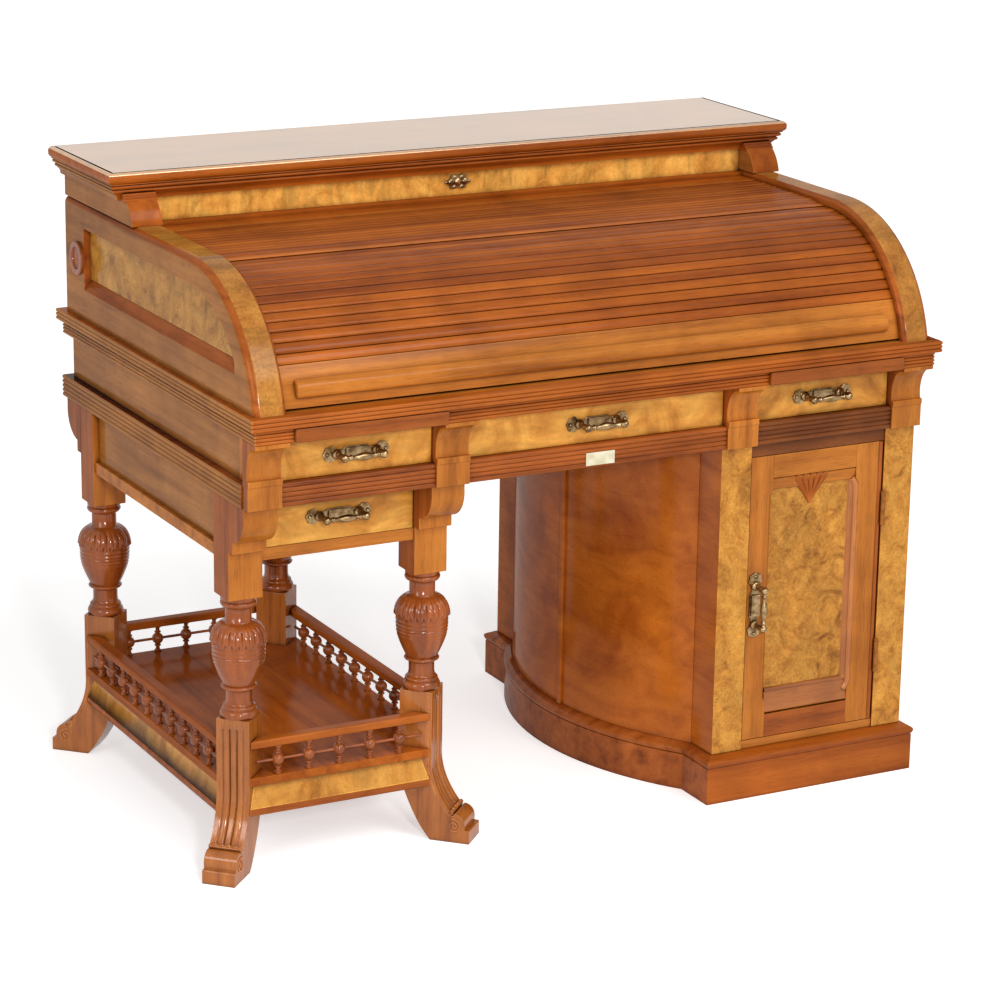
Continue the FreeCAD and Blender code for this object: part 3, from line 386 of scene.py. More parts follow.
def eased(piece, width=0.0, segments=2, smooth=40, flats=False):
    """Arrises rounded over and the curves shaded smooth, with flat faces kept flat beside them."""
    if width:
        arris = piece.modifiers.new("arris", "BEVEL")
        arris.width = width * MM
        arris.segments = segments
        arris.limit_method = "ANGLE"
        arris.angle_limit = math.radians(35)
        apply_all(piece)
    pick(piece)
    bpy.ops.object.shade_smooth_by_angle(angle=math.radians(smooth))
    if width or flats:
        true_flats = piece.modifiers.new("true_flats", "WEIGHTED_NORMAL")
        true_flats.keep_sharp = True
        apply_all(piece)
    return piece


def finished(piece, body, slot, material, *nodes):
    """A piece polished, fixed to its body and standing for its CAD nodes."""
    piece.data.materials.clear()
    piece.data.materials.append(material)
    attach(piece, body)
    if nodes:
        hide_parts(*nodes)
    return piece


def copied(node, name):
    """A copy of a CAD node's shape with its triangles joined into whole faces."""
    piece = frame["nodes"][node].copy()
    piece.data = frame["nodes"][node].data.copy()
    piece.name = name
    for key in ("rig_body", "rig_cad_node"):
        del piece[key]
    piece.parent = None
    scene.collection.objects.link(piece)
    open_whole(piece)
    bpy.ops.mesh.customdata_custom_splitnormals_clear()
    bpy.ops.mesh.remove_doubles(threshold=0.00001)
    bpy.ops.mesh.dissolve_limited(angle_limit=math.radians(0.6))
    bpy.ops.object.mode_set(mode="OBJECT")
    return piece


def dressed(node, name, body, slot, material, width=0.0, segments=2, smooth=40):
    """A CAD node's own shape, eased, polished and standing for that node."""
    return finished(eased(copied(node, name), width, segments, smooth), body, slot, material, node)


def on_desk(place):
    """The desk's millimetres of a place in the frame."""
    return (place - at(0, 0, 0)) / MM


def painted(piece, material, chosen):
    """Another finish on the faces that a test of their centre on the desk and their normal chooses."""
    piece.data.materials.append(material)
    last = len(piece.data.materials) - 1
    for face in piece.data.polygons:
        if chosen(on_desk(face.center), face.normal):
            face.material_index = last


def block(size, place):
    """A block of a size, with its middle at a place."""
    bpy.ops.mesh.primitive_cube_add(size=1, location=place)
    piece = bpy.context.object
    piece.scale = [side * MM for side in size]
    bpy.ops.object.transform_apply()
    return piece


def joined(name, *pieces):
    """Pieces glued into one."""
    pick(*pieces)
    bpy.ops.object.join()
    whole = bpy.context.object
    whole.name = name
    return whole


planed = {}
for node, width, material in (
        ("writing_board", 1.0, walnut_x), ("case_frame", 0.0, walnut_y), ("slide_runners", 0.0, walnut_x),
        ("pedestal_posts", 1.6, walnut_z), ("pedestal_brackets", 1.2, walnut_z),
        ("pedestal_rails", 0.0, walnut_x), ("pedestal_panels", 0.0, walnut_y),
        ("gallery_shelf", 1.0, shelf_walnut), ("cupboard_walls", 0.8, walnut_z), ("roll_back", 0.8, walnut_x),
        ("stationery_rack", 0.0, lining), ("case_boards", 0.0, lining), ("cupboard_decks", 0.0, lining),
        ("cupboard_shelf", 0.0, lining)):
    slot = "lining_wood" if material is lining else "walnut"
    planed[node] = dressed(node, node + "_planed", "desk", slot, material, width)

cove_top, cove_bottom, cove_stretch = 744.0, 704.0, 1.4
corbels = copied("upper_corbels", "upper_corbels_planed")
for vertex in corbels.data.vertices:
    below = cove_top * MM - vertex.co.z
    if -0.0001 < below < (cove_top - cove_bottom) * MM + 0.0001:
        vertex.co.z = cove_top * MM - below * cove_stretch
planed["upper_corbels"] = finished(eased(corbels, 1.0), "desk", "walnut", walnut_z, "upper_corbels")

strip_size = (1.6, 19, 75)
end_strips = [block(strip_size, at(side * 622.4, 87.5, 713.5)) for side in (-1, 1)]
finished(eased(joined("case_end_strips", *end_strips), 0.4), "desk", "walnut", walnut_z)

door_foot, door_head, desk_level = 102, 611, 800
painted(planed["cupboard_walls"], walnut_x, lambda centre, normal: not door_foot < centre.z < door_head)
# Painted shadow: the rail over the door, under the moulding, in the darker walnut.
painted(planed["cupboard_walls"], painted_shade_x, lambda centre, normal: centre.z > door_head)
# Painted shade: the left and right faces of the posts, brackets and corbels in darker red walnut.
for node in ("pedestal_posts", "pedestal_brackets", "upper_corbels"):
    painted(planed[node], red_z, lambda centre, normal: abs(normal.x) > 0.9)
for node in ("case_frame", "pedestal_panels"):
    painted(planed[node], walnut_x, lambda centre, normal: abs(normal.y) > 0.9)
painted(planed["stationery_rack"], walnut_z, lambda centre, normal: normal.y < -0.9 and centre.z > desk_level)

# Splayed legs
# Square walnut blocks set on the diagonal and sawn to a sweep, the outer face sunk with three reeds.
# The reeds end at a carved lip over a rounded step, and a scroll is cut on each cheek of the toe.

leg_left, leg_right, leg_front, leg_rear = -605, -274, 148, 738
leg_places = ((leg_left, leg_front, 135), (leg_right, leg_front, 225), (leg_left, leg_rear, 45),
              (leg_right, leg_rear, 315))
half_block = 28.5
core_face = half_block - 5
block_top = 262.0
reed_top = 244.0
reed_depth = 5.5
reed_columns = 44
bead_width = 13.0
bead_centre = 12.6
fillet_half = 4.6
sweep_top = 150
scroll_turns = 26


def here(x, y, z):
    """A place on a piece made at the bench, before it is set down on the desk."""
    return Vector((x, y, z)) * MM


def bowed(start, via, end, steps):
    """Points on a curve from start to end through via, without its start."""
    points = []
    for step in range(1, steps + 1):
        share = step / steps
        points.append(tuple(
            (1 - share) ** 2 * a + 2 * share * (1 - share) * (2 * v - (a + b) / 2) + share * share * b
            for a, v, b in zip(start, via, end)))
    return points


def outward():
    """The faces of the piece in edit mode turned outward, and edit mode left."""
    bpy.ops.mesh.select_all(action="SELECT")
    bpy.ops.mesh.normals_make_consistent(inside=False)
    bpy.ops.object.mode_set(mode="OBJECT")


def drawn(name, outline, axis, start, end, spot=at):
    """A solid drawn as a flat outline and pulled out along one axis."""
    bpy.ops.mesh.primitive_circle_add(vertices=len(outline), radius=0.1, fill_type="NGON", location=(0, 0, 0))
    piece = bpy.context.object
    piece.name = name
    for vertex, (first, second) in zip(piece.data.vertices, outline):
        corner = {"X": (start, first, second), "Y": (first, start, second), "Z": (first, second, start)}[axis]
        vertex.co = spot(*corner)
    pull = [0, 0, 0]
    pull["XYZ".index(axis)] = (end - start) * MM
    open_whole(piece)
    bpy.ops.mesh.extrude_region_move(TRANSFORM_OT_translate={"value": pull})
    outward()
    return piece


def sheeted(name, columns, rows, place, thickness=0.0, offset=0.0):
    """A carved sheet: a grid whose points are set by a function of column and row, backed to a thickness."""
    bpy.ops.mesh.primitive_grid_add(x_subdivisions=columns, y_subdivisions=rows, size=1, location=(0, 0, 0))
    piece = bpy.context.object
    piece.name = name
    for index, vertex in enumerate(piece.data.vertices):
        vertex.co = place(index % (columns + 1), index // (columns + 1))
    open_whole(piece)
    outward()
    if thickness:
        backing = piece.modifiers.new("backing", "SOLIDIFY")
        backing.thickness = thickness * MM
        backing.offset = offset
        apply_all(piece)
    return piece


def knob(radius, place, squash=(1, 1, 1), segments=12, rings=8):
    """A small round knob, squashed by a share for each axis."""
    bpy.ops.mesh.primitive_uv_sphere_add(segments=segments, ring_count=rings, radius=radius * MM,
                                         location=place)
    piece = bpy.context.object
    piece.scale = squash
    bpy.ops.object.transform_apply()
    return piece


def wire(route, radius, resolution, order=None):
    """A round wire bent along a route of places."""
    bpy.ops.curve.primitive_nurbs_path_add(location=(0, 0, 0))
    curve = bpy.context.object.data
    line = curve.splines[0]
    line.points.add(len(route) - len(line.points))
    for point, place in zip(line.points, route):
        point.co = (*place, 1)
    if order:
        line.order_u = order
    line.use_endpoint_u = True
    curve.bevel_depth = radius * MM
    curve.bevel_resolution = resolution
    curve.use_fill_caps = True
    bpy.ops.object.convert(target="MESH")
    return bpy.context.object


def stood(turn, x, y, z):
    """Where a bench-made piece goes: turned about its upright and set down."""
    return Matrix.Translation(at(x, y, z)) @ Matrix.Rotation(math.radians(turn), 4, "Z")


def twin(piece, placing, name="copy"):
    """A copy with its own mesh, set down in its place."""
    other = piece.copy()
    other.data = piece.data.copy()
    other.name = name
    scene.collection.objects.link(other)
    other.data.transform(placing)
    return other


def discard(*pieces):
    """A pattern put away once its copies are made."""
    for piece in pieces:
        bpy.data.objects.remove(piece)


def on_four(pattern, name, height, slot, material, node):
    """A copy of a bench-made pattern at each of the four legs, standing for one CAD node."""
    for number, (x, y, turn) in enumerate(leg_places):
        piece = twin(pattern, stood(turn, x, y, height), name + str(number + 1))
        finished(piece, "desk", slot, material, node)
    discard(pattern)


def reed_sink(across):
    """How deep the reeding lies at a distance across the leg's face."""
    off = abs(across)
    if off > bead_centre + bead_width / 2:
        return 0.0
    if off > fillet_half + 1.4:
        crown = (off - bead_centre) / (bead_width / 2)
        return reed_depth - (reed_depth - 0.4) * math.sqrt(max(0.0, 1 - crown * crown))
    if off > fillet_half:
        return reed_depth
    return 1.6


def on_face(column, row):
    """A point of the reeded face, counted across and down."""
    across = half_block * (2 * column / reed_columns - 1)
    out, height = outer_line[row]
    sink = reed_sink(across) if height <= reed_top else 0.0
    return here(across, out - sink, height)


def on_scroll(cheek, index):
    """A point of the scroll on one cheek of the toe, counted inward."""
    angle = math.radians(115 - 25 * index)
    reach = 13.5 - 0.46 * index
    return here(cheek * (half_block + 0.2), 69 + reach * math.cos(angle), 30 + reach * math.sin(angle))


outer_line = [(half_block, height) for height in (block_top, reed_top + 2, reed_top, 215, 180, sweep_top)]
outer_line += bowed((half_block, sweep_top), (35.6, 101), (64, 52), 12)
core_line = [(-half_block, block_top - 0.3), (core_face, block_top - 0.3), (core_face, sweep_top)]
core_line += bowed((core_face, sweep_top), (30.6, 101), (58, 51), 12)
core_line += [(66, 47.5), (69, 51.5), (73, 52)]
core_line += bowed((73, 52), (85.5, 43), (88, 27), 8)
core_line += [(88, 24), (94.5, 24), (96, 22.5), (96, 0), (27, 0)]
core_line += bowed((27, 0), (-2.3, 44), (-half_block, 110), 12)
lip_line = [(57, 55), (65, 58.5), (68, 55), (67, 49.5), (60, 47)]
leg_parts = [eased(drawn("leg_core", core_line, "X", -half_block, half_block, here), 0.9),
             sheeted("reeded_face", reed_columns, len(outer_line) - 1, on_face, 7, -1.0),
             eased(drawn("leg_lip", lip_line, "X", -half_block, half_block, here), 1.2, 3)]
leg_parts += [knob(3.4, here(across, 64.5, 57.5), (1.3, 1.0, 0.8)) for across in (-18, -6, 6, 18)]
for cheek in (-1, 1):
    leg_parts.append(wire([on_scroll(cheek, index) for index in range(scroll_turns)], 1.5, 3))
leg = eased(joined("leg", *leg_parts))
on_four(leg, "splayed_leg_", 0, "walnut", leg_walnut, "splayed_legs")

# Turned urns
# Vase balusters turned from dark walnut between the leg blocks and the posts.
# Twelve lotus leaves are carved on the shoulder over four scribed rings.

urn_height = 205.0
belly = 44.0
leaf_count = 12
leaf_low, leaf_high = 0.605, 0.785
leaf_ground = -1.2
ring_shares = (0.470, 0.500, 0.530, 0.560)


def turned(name, profile, steps):
    """A piece turned on the lathe: a ring raised and sized through (radius, height) pairs, at the bench."""
    radius, height = profile[0]
    bpy.ops.mesh.primitive_circle_add(vertices=steps, radius=radius * MM, fill_type="NGON",
                                      location=(0, 0, height * MM))
    piece = bpy.context.object
    piece.name = name
    bpy.ops.object.transform_apply()
    open_whole(piece)
    for next_radius, next_height in profile[1:]:
        rise = (next_height - height) * MM
        bpy.ops.mesh.extrude_region_move(TRANSFORM_OT_translate={"value": (0, 0, rise)})
        size = next_radius / radius
        bpy.ops.transform.resize(value=(size, size, 1), center_override=(0, 0, next_height * MM))
        radius, height = next_radius, next_height
    outward()
    return piece


def through(*stops):
    """A profile through plain points and (via, end) curves."""
    line = [stops[0]]
    for stop in stops[1:]:
        if isinstance(stop[0], tuple):
            line += bowed(line[-1], stop[0], stop[1], stop[2] if len(stop) > 2 else 6)
        else:
            line.append(stop)
    return line


def leaf_lift(turn_share, down):
    """How far the carved leaves stand out, at a share of one leaf's turn and a share down from their tips."""
    lift = leaf_ground
    half = 0.52 * math.cos(min(1.0, down) * math.pi / 2) ** 0.55
    for centre, rise in ((0.5, 3.8), (0.0, 1.4), (1.0, 1.4)):
        off = abs(turn_share - centre)
        if half > 0.02 and off < half:
            vein = 1.5 if off < 0.06 else 0.0
            lift = max(lift, rise * (0.45 + 0.55 * math.sqrt(1 - (off / half) ** 2)) - vein)
    return lift


urn_profile = through(
    (30, 0), ((31.6, 0.03), (29, 0.06)), (27, 0.068), ((27.5, 0.085), (25, 0.1)),
    ((22.6, 0.115), (21.5, 0.15)), (21.5, 0.222), (24, 0.228), (26, 0.235), ((29.6, 0.252), (26, 0.27)),
    ((38, 0.40), (43.4, 0.50), 14), ((43.9, 0.55), (belly, leaf_low), 12),
    ((38.6, 0.72), (24, leaf_high), 18), (21.5, 0.795), (21.5, 0.905), (24, 0.912), (27, 0.92),
    ((29.8, 0.945), (27, 0.965)), (29, 0.975), (29, 1))
urn = turned("urn", [(radius, share * urn_height) for radius, share in urn_profile], 144)
for vertex in urn.data.vertices:
    share = vertex.co.z / (urn_height * MM)
    radius = math.hypot(vertex.co.x, vertex.co.y)
    lift = 0.0
    if radius > 30 * MM and any(abs(share - ring) < 0.008 for ring in ring_shares):
        lift = -1.3
    if leaf_low - 0.01 < share < leaf_high and radius > 23 * MM:
        turn_share = (math.atan2(vertex.co.y, vertex.co.x) / math.tau * leaf_count) % 1.0
        lift = leaf_lift(turn_share, (leaf_high - share) / (leaf_high - leaf_low))
    vertex.co.x *= (radius + lift * MM) / radius
    vertex.co.y *= (radius + lift * MM) / radius
eased(urn, smooth=60)
on_four(urn, "turned_urn_", block_top, "dark_walnut", turned_walnut, "urn_balusters")

# Gallery
# A low rail on ball spindles round the shelf, over canted burr aprons with a walnut bead beneath.
# The spindles are turned singly and strung on a thin dowel.

spindle_foot, spindle_head = 163.0, 212.0
spindle_middle = (spindle_foot + spindle_head) / 2
spindle_ball = 10.5
dowel_radius = 2.5
front_spindles, side_spindles = 5, 10
leg_inset = 17
rail_half = 8
apron_bead = 109.5
leg_span, leg_run = leg_right - leg_left, leg_rear - leg_front


def ball(radius, middle, neck, steps):
    """The points of a turned ball between two necks of one radius."""
    reach = math.acos(neck / radius)
    angles = [reach * (2 * step / steps - 1) for step in range(steps + 1)]
    return [(radius * math.cos(angle), middle + radius * math.sin(angle)) for angle in angles]


def laid(axis, place):
    """Where a bench-made piece goes: tipped over about one axis at a place."""
    return Matrix.Translation(place) @ Matrix.Rotation(math.radians(90), 4, axis)


spindle_half = [(4.2, 11.0), (6.0, 11.8), (6.0, 13.4), (4.0, 14.4), (3.6, 16.5), (4.0, 20), (6.2, 21.4),
                (6.2, 24.5)]
spindle_profile = [(radius, spindle_middle - height) for radius, height in reversed(spindle_half)]
spindle_profile += ball(spindle_ball, spindle_middle, 4.4, 14)
spindle_profile += [(radius, spindle_middle + height) for radius, height in spindle_half]
spindle = eased(turned("spindle", spindle_profile, 20), smooth=50)
rail_low, rail_high = [on_desk(corner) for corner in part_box("gallery_rails")]
rail_left, rail_right = rail_low.x + rail_half, rail_high.x - rail_half
rail_front, rail_rear = rail_low.y + rail_half, rail_high.y - rail_half
strung = []
for index in range(1, front_spindles + 1):
    across = leg_left + index * leg_span / (front_spindles + 1)
    strung += [twin(spindle, stood(0, across, y, 0)) for y in (rail_front, rail_rear)]
for index in range(1, side_spindles + 1):
    along = leg_front + index * leg_run / (side_spindles + 1)
    strung += [twin(spindle, stood(0, x, along, 0)) for x in (rail_left, rail_right)]
dowel = turned("dowel", [(dowel_radius, 0), (dowel_radius, 1)], 10)
for y in (rail_front, rail_rear):
    length = Matrix.Diagonal((1, 1, leg_span - 2 * leg_inset, 1))
    strung.append(twin(dowel, laid("Y", at(leg_left + leg_inset, y, spindle_middle)) @ length))
for x in (rail_left, rail_right):
    length = Matrix.Diagonal((1, 1, leg_run - 2 * leg_inset, 1))
    strung.append(twin(dowel, laid("X", at(x, leg_rear - leg_inset, spindle_middle)) @ length))
discard(spindle, dowel)
finished(eased(joined("ball_spindles", *strung)), "desk", "dark_walnut", turned_walnut, "gallery_spindles")
piece = dressed("gallery_rails", "gallery_top_rails", "desk", "walnut", shelf_walnut, 3.0, 3)
painted(piece, moulded_x, lambda centre, normal: not leg_front <= centre.y <= leg_rear)
piece = dressed("gallery_aprons", "canted_aprons", "desk", "burr_veneer", burr_apron, 0.6)
painted(piece, red_x, lambda centre, normal: centre.z < apron_bead)

# Reeded mouldings
# Long runs of walnut planed to fine reeds, mitred round the writing level and under the drawers.
# Over the door the lower run is painted darker, a painted shade.

moulded_y = walnut("moulded_walnut_side", "Y", BROWN)
painted_shade_run = 310
for node, material in (("writing_moulding", moulded_x), ("lower_moulding", red_x)):
    piece = dressed(node, node + "_reeded", "desk", "dark_walnut", material, smooth=30)
    painted(piece, moulded_y, lambda centre, normal: abs(normal.x) > 0.5)
# Painted shade: the front of the lower run over the door.
painted(piece, painted_shade_x, lambda centre, normal: centre.x > painted_shade_run and abs(normal.x) < 0.5)

# Top board and cornice
# A polished board with a rounded nosing and a scribed line round its top, over a reeded cornice.
# The cornice is run in one section and mitred at the corners, and small caps sit on the frieze's ends.

case_half, case_rear = 632.0, 827.0
frieze_face = 570.0
cornice_low, cornice_high, top_level = 1043.0, 1067.5, 1086.5
cornice_foot = 1038.0
reed_rise, reed_count = 7.6, 2
fillet_cad, fillet_top = 1005.0, 996.5


def only(piece, kind, chosen):
    """Edit mode with only those faces or edges of a piece selected that a test chooses."""
    pick(piece)
    bpy.ops.object.mode_set(mode="EDIT")
    bpy.ops.mesh.select_mode(type=kind)
    bpy.ops.mesh.select_all(action="DESELECT")
    bpy.ops.object.mode_set(mode="OBJECT")
    for part in piece.data.polygons if kind == "FACE" else piece.data.edges:
        part.select = chosen(part)
    bpy.ops.object.mode_set(mode="EDIT")


def mitred(name, section, half, front, rear):
    """A moulding of one closed section of (out, height) points, run round the front and the two sides."""
    turns = ((-1, 0, rear), (-1, -1, front), (1, -1, front), (1, 0, rear))

    def on_run(column, row):
        side, ahead, y = turns[row]
        out, height = section[column % len(section)]
        return at(side * (half + out), y + ahead * out, height)

    piece = sheeted(name, len(section), 3, on_run)
    open_whole(piece)
    bpy.ops.mesh.remove_doubles(threshold=0.00001)
    bpy.ops.mesh.fill_holes(sides=0)
    outward()
    return piece


top_walnut = walnut("top_walnut", "X", roughness=0.16, coat=0.8)
fill(top_walnut.node_tree.nodes["Principled BSDF"], Specular_IOR_Level=1.0, IOR=2.3,
     Specular_Tint=(1.0, 0.84, 0.58, 1))
piece = copied("top_board", "top_board_polished")
only(piece, "FACE", lambda side: side.normal.z > 0.99)
for across, down in ((8.0, 0.0), (0.5, -1.0), (1.0, 0.0), (0.5, 1.0)):
    bpy.ops.mesh.inset(thickness=across * MM, depth=down * MM, use_even_offset=False)
bpy.ops.object.mode_set(mode="OBJECT")
for vertex in piece.data.vertices:
    vertex.co.z = min(vertex.co.z, top_level * MM)
finished(eased(piece), "desk", "walnut", top_walnut, "top_board")
painted(piece, moulded_x, lambda centre, normal: normal.z < 0.5)

cornice_line = [(0, cornice_high), (24, cornice_high), (24, cornice_high - 1.6), (21.4, cornice_high - 2.2)]
for reed in range(reed_count):
    start = cornice_high - 2.6 - reed * reed_rise
    out = 21.0 - 4.4 * reed
    cornice_line += through((out - 1.5, start),
                            ((out + 1.2, start - reed_rise / 2), (out - 2.8, start - reed_rise + 0.6)))
cornice_line += through((12, cornice_low + 5), ((9, cornice_low + 1.6), (7.6, cornice_low - 2.2)))
cornice_line += [(7.6, cornice_foot), (0, cornice_foot)]
piece = eased(mitred("cornice_reeds", cornice_line, case_half, frieze_face, case_rear), smooth=30)
finished(piece, "desk", "walnut", moulded_x, "cornice")
painted(piece, walnut_y, lambda centre, normal: abs(normal.x) > 0.5 or abs(centre.x) > case_half)
piece = copied("frieze_panel", "frieze_veneer")
for vertex in piece.data.vertices:
    if abs(vertex.co.z - fillet_cad * MM) < 0.5 * MM:
        vertex.co.z = fillet_top * MM
finished(eased(piece), "desk", "burr_veneer", burr_frieze, "frieze_panel")
painted(piece, moulded_x, lambda centre, normal:
        centre.z < fillet_top + 0.5 and centre.y < frieze_face - 0.5)
piece = dressed("frieze_ends", "frieze_end_blocks", "desk", "dark_walnut", walnut_y, 1.0)
painted(piece, shelf_walnut, lambda centre, normal: abs(normal.x) < 0.5)
cap_line = [(frieze_face, 1050), (549, 1050), (549, 1046.6), (545.5, 1046), (545.5, 1042.6), (541.5, 1041.8),
            (541.5, 1038.2), (544.5, 1037.2), (544.5, 1035.4), (frieze_face, 1035.4)]
caps = [drawn("cap", cap_line, "X", side * 575.5, side * 633.2) for side in (-1, 1)]
finished(eased(joined("frieze_caps", *caps), 0.4), "desk", "walnut", moulded_x)

# Roll ends
# Thick quadrant boards, burr on the edge, with a deep sunk burr field and a dished roundel on the side.
# Their outer arris is rounded over and their inner one is chamfered.

roll_y, roll_z, roll_radius = 268.0, 744.0, 256.0
end_inner, end_outer = 577.0, 632.0
round_over, inner_chamfer = 14.0, 6.0
sunk_cad, sunk_floor = 624.0, 617.0
skin_cad, skin_face = 628.0, 619.5
sunk_rear_cad, sunk_rear = 707.0, 741.0
field_foot, field_head = 845, 960
roundel_y, roundel_z = 765, 900


def rounded(piece, chosen, width, segments, profile=0.5):
    """The edges whose two ends pass a test of their desk place, rounded to a width."""
    points = piece.data.vertices
    only(piece, "EDGE", lambda edge: all(chosen(on_desk(points[end].co)) for end in edge.vertices))
    bpy.ops.mesh.bevel(offset=width * MM, segments=segments, profile=profile, affect="EDGES")
    bpy.ops.object.mode_set(mode="OBJECT")


def on_edge(end, across):
    """Whether a point lies on the quadrant's curved and level edge, at a distance out from the middle."""
    out = math.hypot(end.y - roll_y, end.z - roll_z)
    curved = end.y <= roll_y + 1 and abs(out - roll_radius) < 0.6
    flat = end.y > roll_y - 1 and abs(end.z - roll_z - roll_radius) < 0.6
    return abs(abs(end.x) - across) < 0.4 and (curved or flat)


def near_edge(centre, normal):
    """Whether a face belongs to the quadrant's outer edge, seen from the front or above."""
    out = math.hypot(min(0.0, centre.y - roll_y), centre.z - roll_z)
    return out > roll_radius - 16 and (normal.z > 0.02 or normal.y < -0.1)


def in_recess(centre, normal):
    """Whether a face is a wall of the sunk field on the side."""
    behind_face = sunk_floor + 0.5 < abs(centre.x) < end_outer - 0.5
    inside_edge = math.hypot(min(0.0, centre.y - roll_y), centre.z - roll_z) < roll_radius - 40
    before_roundel = centre.z > field_foot and centre.y < sunk_rear + 1
    return behind_face and inside_edge and before_roundel and abs(normal.x) < 0.9


def sunk_deeper(piece):
    """The side field's recess cut deeper and carried back to the roundel."""
    for vertex in piece.data.vertices:
        place = on_desk(vertex.co)
        for old, new in ((sunk_cad, sunk_floor), (skin_cad, skin_face)):
            if abs(abs(place.x) - old) < 0.3:
                vertex.co.x = at(math.copysign(new, place.x), 0, 0).x
        if abs(place.y - sunk_rear_cad) < 0.3 and abs(place.x) > skin_face and place.z < field_head:
            vertex.co.y = at(0, sunk_rear, 0).y
    return piece


red_and_shade_y = walnut("red_walnut_and_shade_along_side", "Y", RED, coat=0.2)
for side in ("left", "right"):
    piece = sunk_deeper(copied(side + "_roll_end", side + "_quadrant"))
    rounded(piece, lambda end: on_edge(end, end_outer), round_over, 5)
    rounded(piece, lambda end: on_edge(end, end_inner), inner_chamfer, 2, 0.4)
    finished(eased(piece, smooth=30, flats=True), "desk", "walnut", walnut_y, side + "_roll_end")
    painted(piece, burr_edge, lambda centre, normal: abs(normal.x) < 0.3 and near_edge(centre, normal))
    # Partly the wood's red edge and partly painted shade: the rounded arris, the inner faces and the sunk
    # field's walls in darker red walnut.
    painted(piece, red_and_shade_y, lambda centre, normal: 0.3 <= abs(normal.x) < 0.97 and near_edge(centre, normal))
    painted(piece, red_and_shade_y, lambda centre, normal: normal.x * centre.x < 0 and abs(normal.x) > 0.97)
    painted(piece, red_and_shade_y, in_recess)
piece = eased(sunk_deeper(copied("roll_end_fields", "sunk_fields")))
finished(piece, "desk", "burr_veneer", burr_side, "roll_end_fields")

ring_line = through((28.6, 0), (28.6, 2.0), ((28.6, 6.4), (24.0, 6.6)), ((20.0, 6.4), (18.6, 3.4)),
                    ((12.0, 1.4), (5.0, 1.2)), (0.5, 1.2))
ring = turned("roundel", ring_line, 64)
rings = []
for side in (-1, 1):
    facing = Matrix.Rotation(math.radians(90 * side), 4, "Y")
    placing = Matrix.Translation(at(side * end_outer, roundel_y, roundel_z)) @ facing
    rings.append(twin(ring, placing))
piece = eased(joined("turned_roundels", *rings), smooth=60)
finished(piece, "desk", "dark_walnut", turned_walnut, "roundels")
discard(ring)

# Tambour curtain
# Narrow walnut slats glued to canvas, run in the grooves of the roll ends, with a wide lift rail below.
# The top run behind the curve lies level up to a plain board under the frieze.

slat_half = 586.4
slat_radius, slat_thick = 240.0, 11.0
slat_first, slat_pitch, slats = 29.6, 4.55, 15
slat_gap = 0.9
slat_width = 2 * slat_radius * math.sin(math.radians(slat_pitch / 2)) - slat_gap
top_low, top_high = 985.0, 990.0
level_start, level_end, level_strip, level_strips = 280.0, 588.0, 19.0, 12
lead_drop, lead_sag = 4.6, 0.8
slat_walnut = walnut("slat_walnut", "X", SLAT, strips=True)


def mirrored(points):
    """The other half of a symmetrical outline."""
    return [(-first, second) for first, second in reversed(points)]


def slat_outline(across, thick):
    """A slat's section: a flat back, square sides and a crowned face with rounded corners."""
    half = across / 2
    crown = [(half, -3.4), (half - 0.2, -2.5), (half - 0.8, -1.6), (half - 1.8, -0.9), (half - 3.2, -0.45),
             (half / 2, -0.15)]
    return [(-half, -thick), (half, -thick)] + crown + [(0, 0)] + mirrored(crown)


slat = drawn("slat", slat_outline(slat_width, slat_thick), "X", -slat_half, slat_half, here)
curtain = []
for index in range(slats):
    angle = slat_first + slat_pitch * (index + 0.5)
    tilt = Matrix.Rotation(math.radians(90 - angle), 4, "X")
    placing = Matrix.Translation(at(0, roll_y, roll_z)) @ tilt @ Matrix.Translation(here(0, 0, slat_radius))
    curtain.append(twin(slat, placing))
discard(slat)
piece = eased(joined("curtain_slats", *curtain), smooth=35)
finished(piece, "tambour", "walnut", slat_walnut, "tambour_slats")
dressed("tambour_lift_rail", "lift_rail", "tambour", "walnut", walnut_x, 0.8)
dressed("tambour_lift_bead", "lift_bead", "tambour", "walnut", walnut_x, 4.0, 4)

level_line = slat_outline(level_strip - slat_gap, top_high - top_low)
level_slat = drawn("level_slat", level_line, "X", -end_inner, end_inner, here)
level_run = []
for index in range(level_strips):
    y = level_start + level_strip * (index + 0.5)
    level_run.append(twin(level_slat, stood(0, 0, y, top_high)))
discard(level_slat)
plain_start = level_start + level_strip * level_strips + slat_gap
plain = [(plain_start, top_low), (plain_start, top_high - 1), (plain_start + 1, top_high),
         (level_end, top_high), (level_end, top_low)]
level_run.append(drawn("plain_strip", plain, "X", -end_inner, end_inner))
piece = eased(joined("level_run", *level_run), smooth=35)
for vertex in piece.data.vertices:
    lead = 1 - (vertex.co.y - at(0, level_start, 0).y) / (2 * level_strip * MM)
    if lead > 0:
        vertex.co.z = max((top_low - lead_sag * lead) * MM, vertex.co.z - lead_drop * MM * lead)
finished(piece, "desk", "walnut", slat_walnut, "roll_top_board")

# Drawers and slides
# Burr-fronted drawers with waxed oak linings, and pull-out writing slides above the outer two.

for name in ("left_drawer", "centre_drawer", "right_drawer", "low_drawer"):
    dressed(name + "_front", name + "_veneer", name, "burr_veneer", burr_front, 0.8)
    dressed(name + "_box", name + "_lining", name, "lining_wood", lining)
slide_walnut = walnut("slide_walnut", "X", ((0.38, 0.105, 0.017), (0.27, 0.067, 0.010), (0.14, 0.030, 0.005)))
for side in ("left", "right"):
    dressed(side + "_writing_slide", side + "_slide_edge", side + "_slide", "walnut", slide_walnut, 2.5, 3)

# Cupboard
# A bow-sided pedestal on a moulded plinth, with burr pilasters on the front corners.
# Two curved figured panels close the side to the kneehole.

